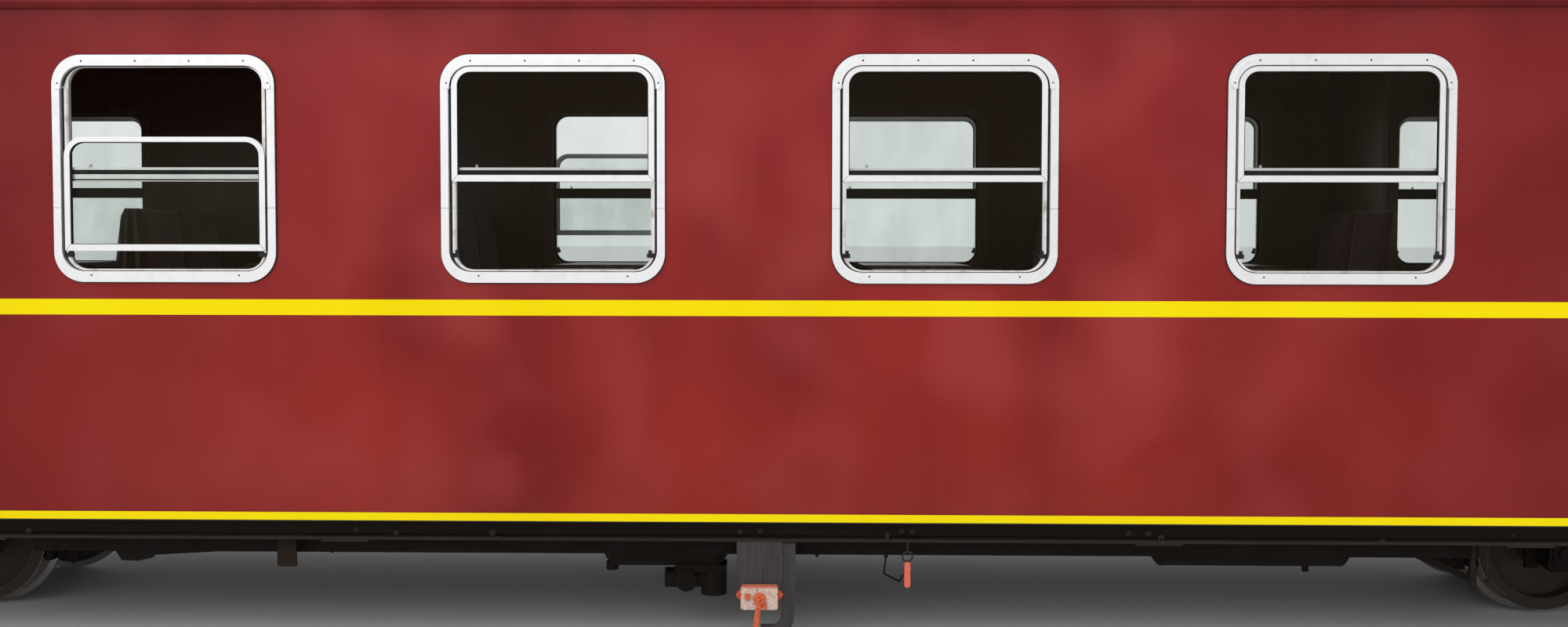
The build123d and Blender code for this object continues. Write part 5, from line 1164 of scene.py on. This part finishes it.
wheel = Finish("wheel_steel", 0.6, gloss=0.4)
wheel_x, wheel_z = wheel.axes()[::2]
from_pivot = wheel.sums("SUBTRACT", wheel.size(wheel_x), PIVOT)
from_axle = wheel.sums("SUBTRACT", wheel.size(from_pivot), WHEELBASE / 2)
wheel_reach = wheel.distance(from_axle, wheel.sums("SUBTRACT", wheel_z, AXLE_HEIGHT))
tread_run = wheel.ramp(wheel_reach, 0.3195, 0.3205)
wheel_grime = wheel.wear(
    grimy, 0.0004, 0.4, Colour=(0.034, 0.022, 0.0155), Dust=(0.062, 0.045, 0.033),
    Rust=(0.07, 0.026, 0.011), Amount=0.6,
)
rim_dark = wheel.times(wheel.ramp(wheel_reach, 0.262, 0.27), 0.5)
rimmed = wheel.tint(rim_dark, wheel_grime, (0.022, 0.0165, 0.0135))
wheel.colour(wheel.tint(tread_run, rimmed, (0.42, 0.4, 0.38)))
wheel.feed(wheel.shader["Metallic"], wheel.times(tread_run, 0.95))
wheel.rough(wheel.ramp(tread_run, 0.0, 1.0, 0.75, 0.26))
wheel.coat("wheelset_1", "wheelset_2", "wheelset_3", "wheelset_4")

for end, end_name in ((1, "front"), (-1, "rear")):
    bogie_bolts, spring_clips = bmesh.new(), bmesh.new()
    for side, axle in product((-1, 1), (-1, 1)):
        out, x = (0, side, 0), end * PIVOT + axle * WHEELBASE / 2
        for a, b in product((-0.048, 0.048), (-0.052, 0.056)):
            place = (x + a, side * BOX_COVER_FACE, AXLE_HEIGHT + b)
            bolt(bogie_bolts, place, out, 0.011, False)
        for a, z in product((-0.12, 0.12), (0.29, 0.34, 0.39)):
            bolt(bogie_bolts, (x + a, side * BOGIE_FACE, z), out, 0.012)
        for a in (-0.155, 0.155):
            low, middle = 0.49 + 0.055 * (a / 0.33) ** 2, x + a
            xs, zs = (middle - 0.014, middle + 0.014), (low - 0.004, low + 0.056)
            block(spring_clips, xs, SPRING_FACES, zs, side)
        for a in (-0.33, 0.33):
            bolt(bogie_bolts, (x + a, side * 0.654, 0.54), out, 0.013)
        for a, z in product((0.22, 0.98), (0.54, 0.575)):
            dome(bogie_bolts, (end * PIVOT + axle * a, side * BOGIE_FACE, z), out, 0.01, 0.006, 10)
    fit(f"bogie_bolts_{end_name}", bogie_bolts, black, f"bogie_{end_name}")
    fit(f"spring_clips_{end_name}", spring_clips, spring, f"bogie_{end_name}", 0.001)

# Platforms and ends. Chequer plate floors, steps and fall plates, black bar railings and
# gates with latches, and centre couplers with a loose link pin through the head.
GATE_FACE = 1.1755
GATE_STRAPS = (1.09, 1.81)
POST_PLACE = (6.915, 1.165)
LINK_PIN = 7.24
chequer = Effect("chequer_pattern", ("", "Size"), ("", "Mask"))
chequer_x, chequer_y = chequer.axes()[:2]
lozenges = []
for lean, shift in ((1.0, 0.0), (-1.0, 0.5)):
    leaned = chequer.times(chequer_y, lean)
    parts = []
    for operation, narrow, move in (("ADD", 2.2, shift), ("SUBTRACT", 7.5, 0.25)):
        across = chequer.sums(operation, chequer_x, leaned)
        rows_across = chequer.sums("DIVIDE", across, chequer.given["Size"])
        wrapped = chequer.sums("FRACT", chequer.sums("ADD", rows_across, move))
        offset = chequer.times(chequer.size(chequer.sums("SUBTRACT", wrapped, 0.5)), narrow)
        parts.append(chequer.times(offset, offset))
    lozenges.append(chequer.ramp(chequer.sums("ADD", *parts), 1.0, 0.6))
chequer.give(Mask=chequer.sums("MAXIMUM", *lozenges))

plate = Finish("platform_plate", 0.55, metal=0.3, gloss=0.4)
facing = plate.put("ShaderNodeNewGeometry").outputs["True Normal"]
facing_z = plate.put("ShaderNodeSeparateXYZ", Vector=facing).outputs["Z"]
facing_up = plate.ramp(plate.size(facing_z), 0.9, 0.95)
raised = plate.times(plate.use(chequer, Size=0.045)["Mask"], facing_up)
plate_grime = plate.use(
    grimy, Colour=(0.035, 0.032, 0.03), Dust=(0.085, 0.07, 0.055),
    Rust=(0.08, 0.035, 0.016), Amount=0.7,
)
plate.colour(plate.tint(plate.times(raised, 0.7), plate_grime["Colour"], (0.2, 0.19, 0.175)))
plate.rough(plate.ramp(raised, 0.0, 1.0, 0.72, 0.36))
plate.bumps(raised, 0.0018, 0.8)
plate.coat("platform_floors", "steps", "fall_plate_front", "fall_plate_rear")

rail = Finish("rail_paint", 0.35, gloss=0.45)
rail.wear(
    chipped, 0.0004, 0.4, Colour=(0.012, 0.0115, 0.012), Second=(0.028, 0.024, 0.022),
    Bare=(0.07, 0.03, 0.015), Second_Amount=0.6, Chips=0.35,
)
rail.coat(
    "platform_railings", "gate_front_near", "gate_front_far", "gate_rear_near", "gate_rear_far"
)

for end, end_name in ((1, "front"), (-1, "rear")):
    post_fittings, pins = bmesh.new(), bmesh.new()
    for side in (-1, 1):
        for z, lift in ((0.94, 1), (2.86, -1)):
            place = (end * POST_PLACE[0], side * POST_PLACE[1], z)
            dome(post_fittings, place, (0, 0, lift), 0.036, 0.006, 20)
        for y, z in product((0.46, 0.7, 0.95, 1.12), (0.97, 1.915)):
            dome(post_fittings, (end * 6.93, side * y, z), (end, 0, 0), 0.007, 0.004, 10)
    fit(f"railing_fittings_{end_name}", post_fittings, rail)
    for side, side_name in SIDES:
        latch, out = bmesh.new(), (0, side, 0)
        latch_ys, strap_ys = (GATE_FACE, GATE_FACE + 0.006), (GATE_FACE, GATE_FACE + 0.0035)
        block(latch, (end * 6.8, end * 6.862), latch_ys, (1.72, 1.76), side)
        dome(latch, (end * 6.815, side * latch_ys[1], 1.74), out, 0.011, 0.01, 16)
        for z in GATE_STRAPS:
            block(latch, (end * 6.142, end * 6.21), strap_ys, (z - 0.018, z + 0.018), side)
            for x in (6.155, 6.195):
                dome(latch, (end * x, side * strap_ys[1], z), out, 0.006, 0.003)
        gate_name = f"{end_name}_{side_name}"
        fit(f"gate_latch_{gate_name}", latch, screw_steel, f"gate_{gate_name}", 0.001)
    rod(pins, (end * LINK_PIN, 0, 0.53), (end * LINK_PIN, 0, 0.785), 0.0165, 16)
    dome(pins, (end * LINK_PIN, 0, 0.783), (0, 0, 1), 0.028, 0.014, 20)
    fit(f"link_pin_{end_name}", pins, spring, f"coupler_{end_name}")
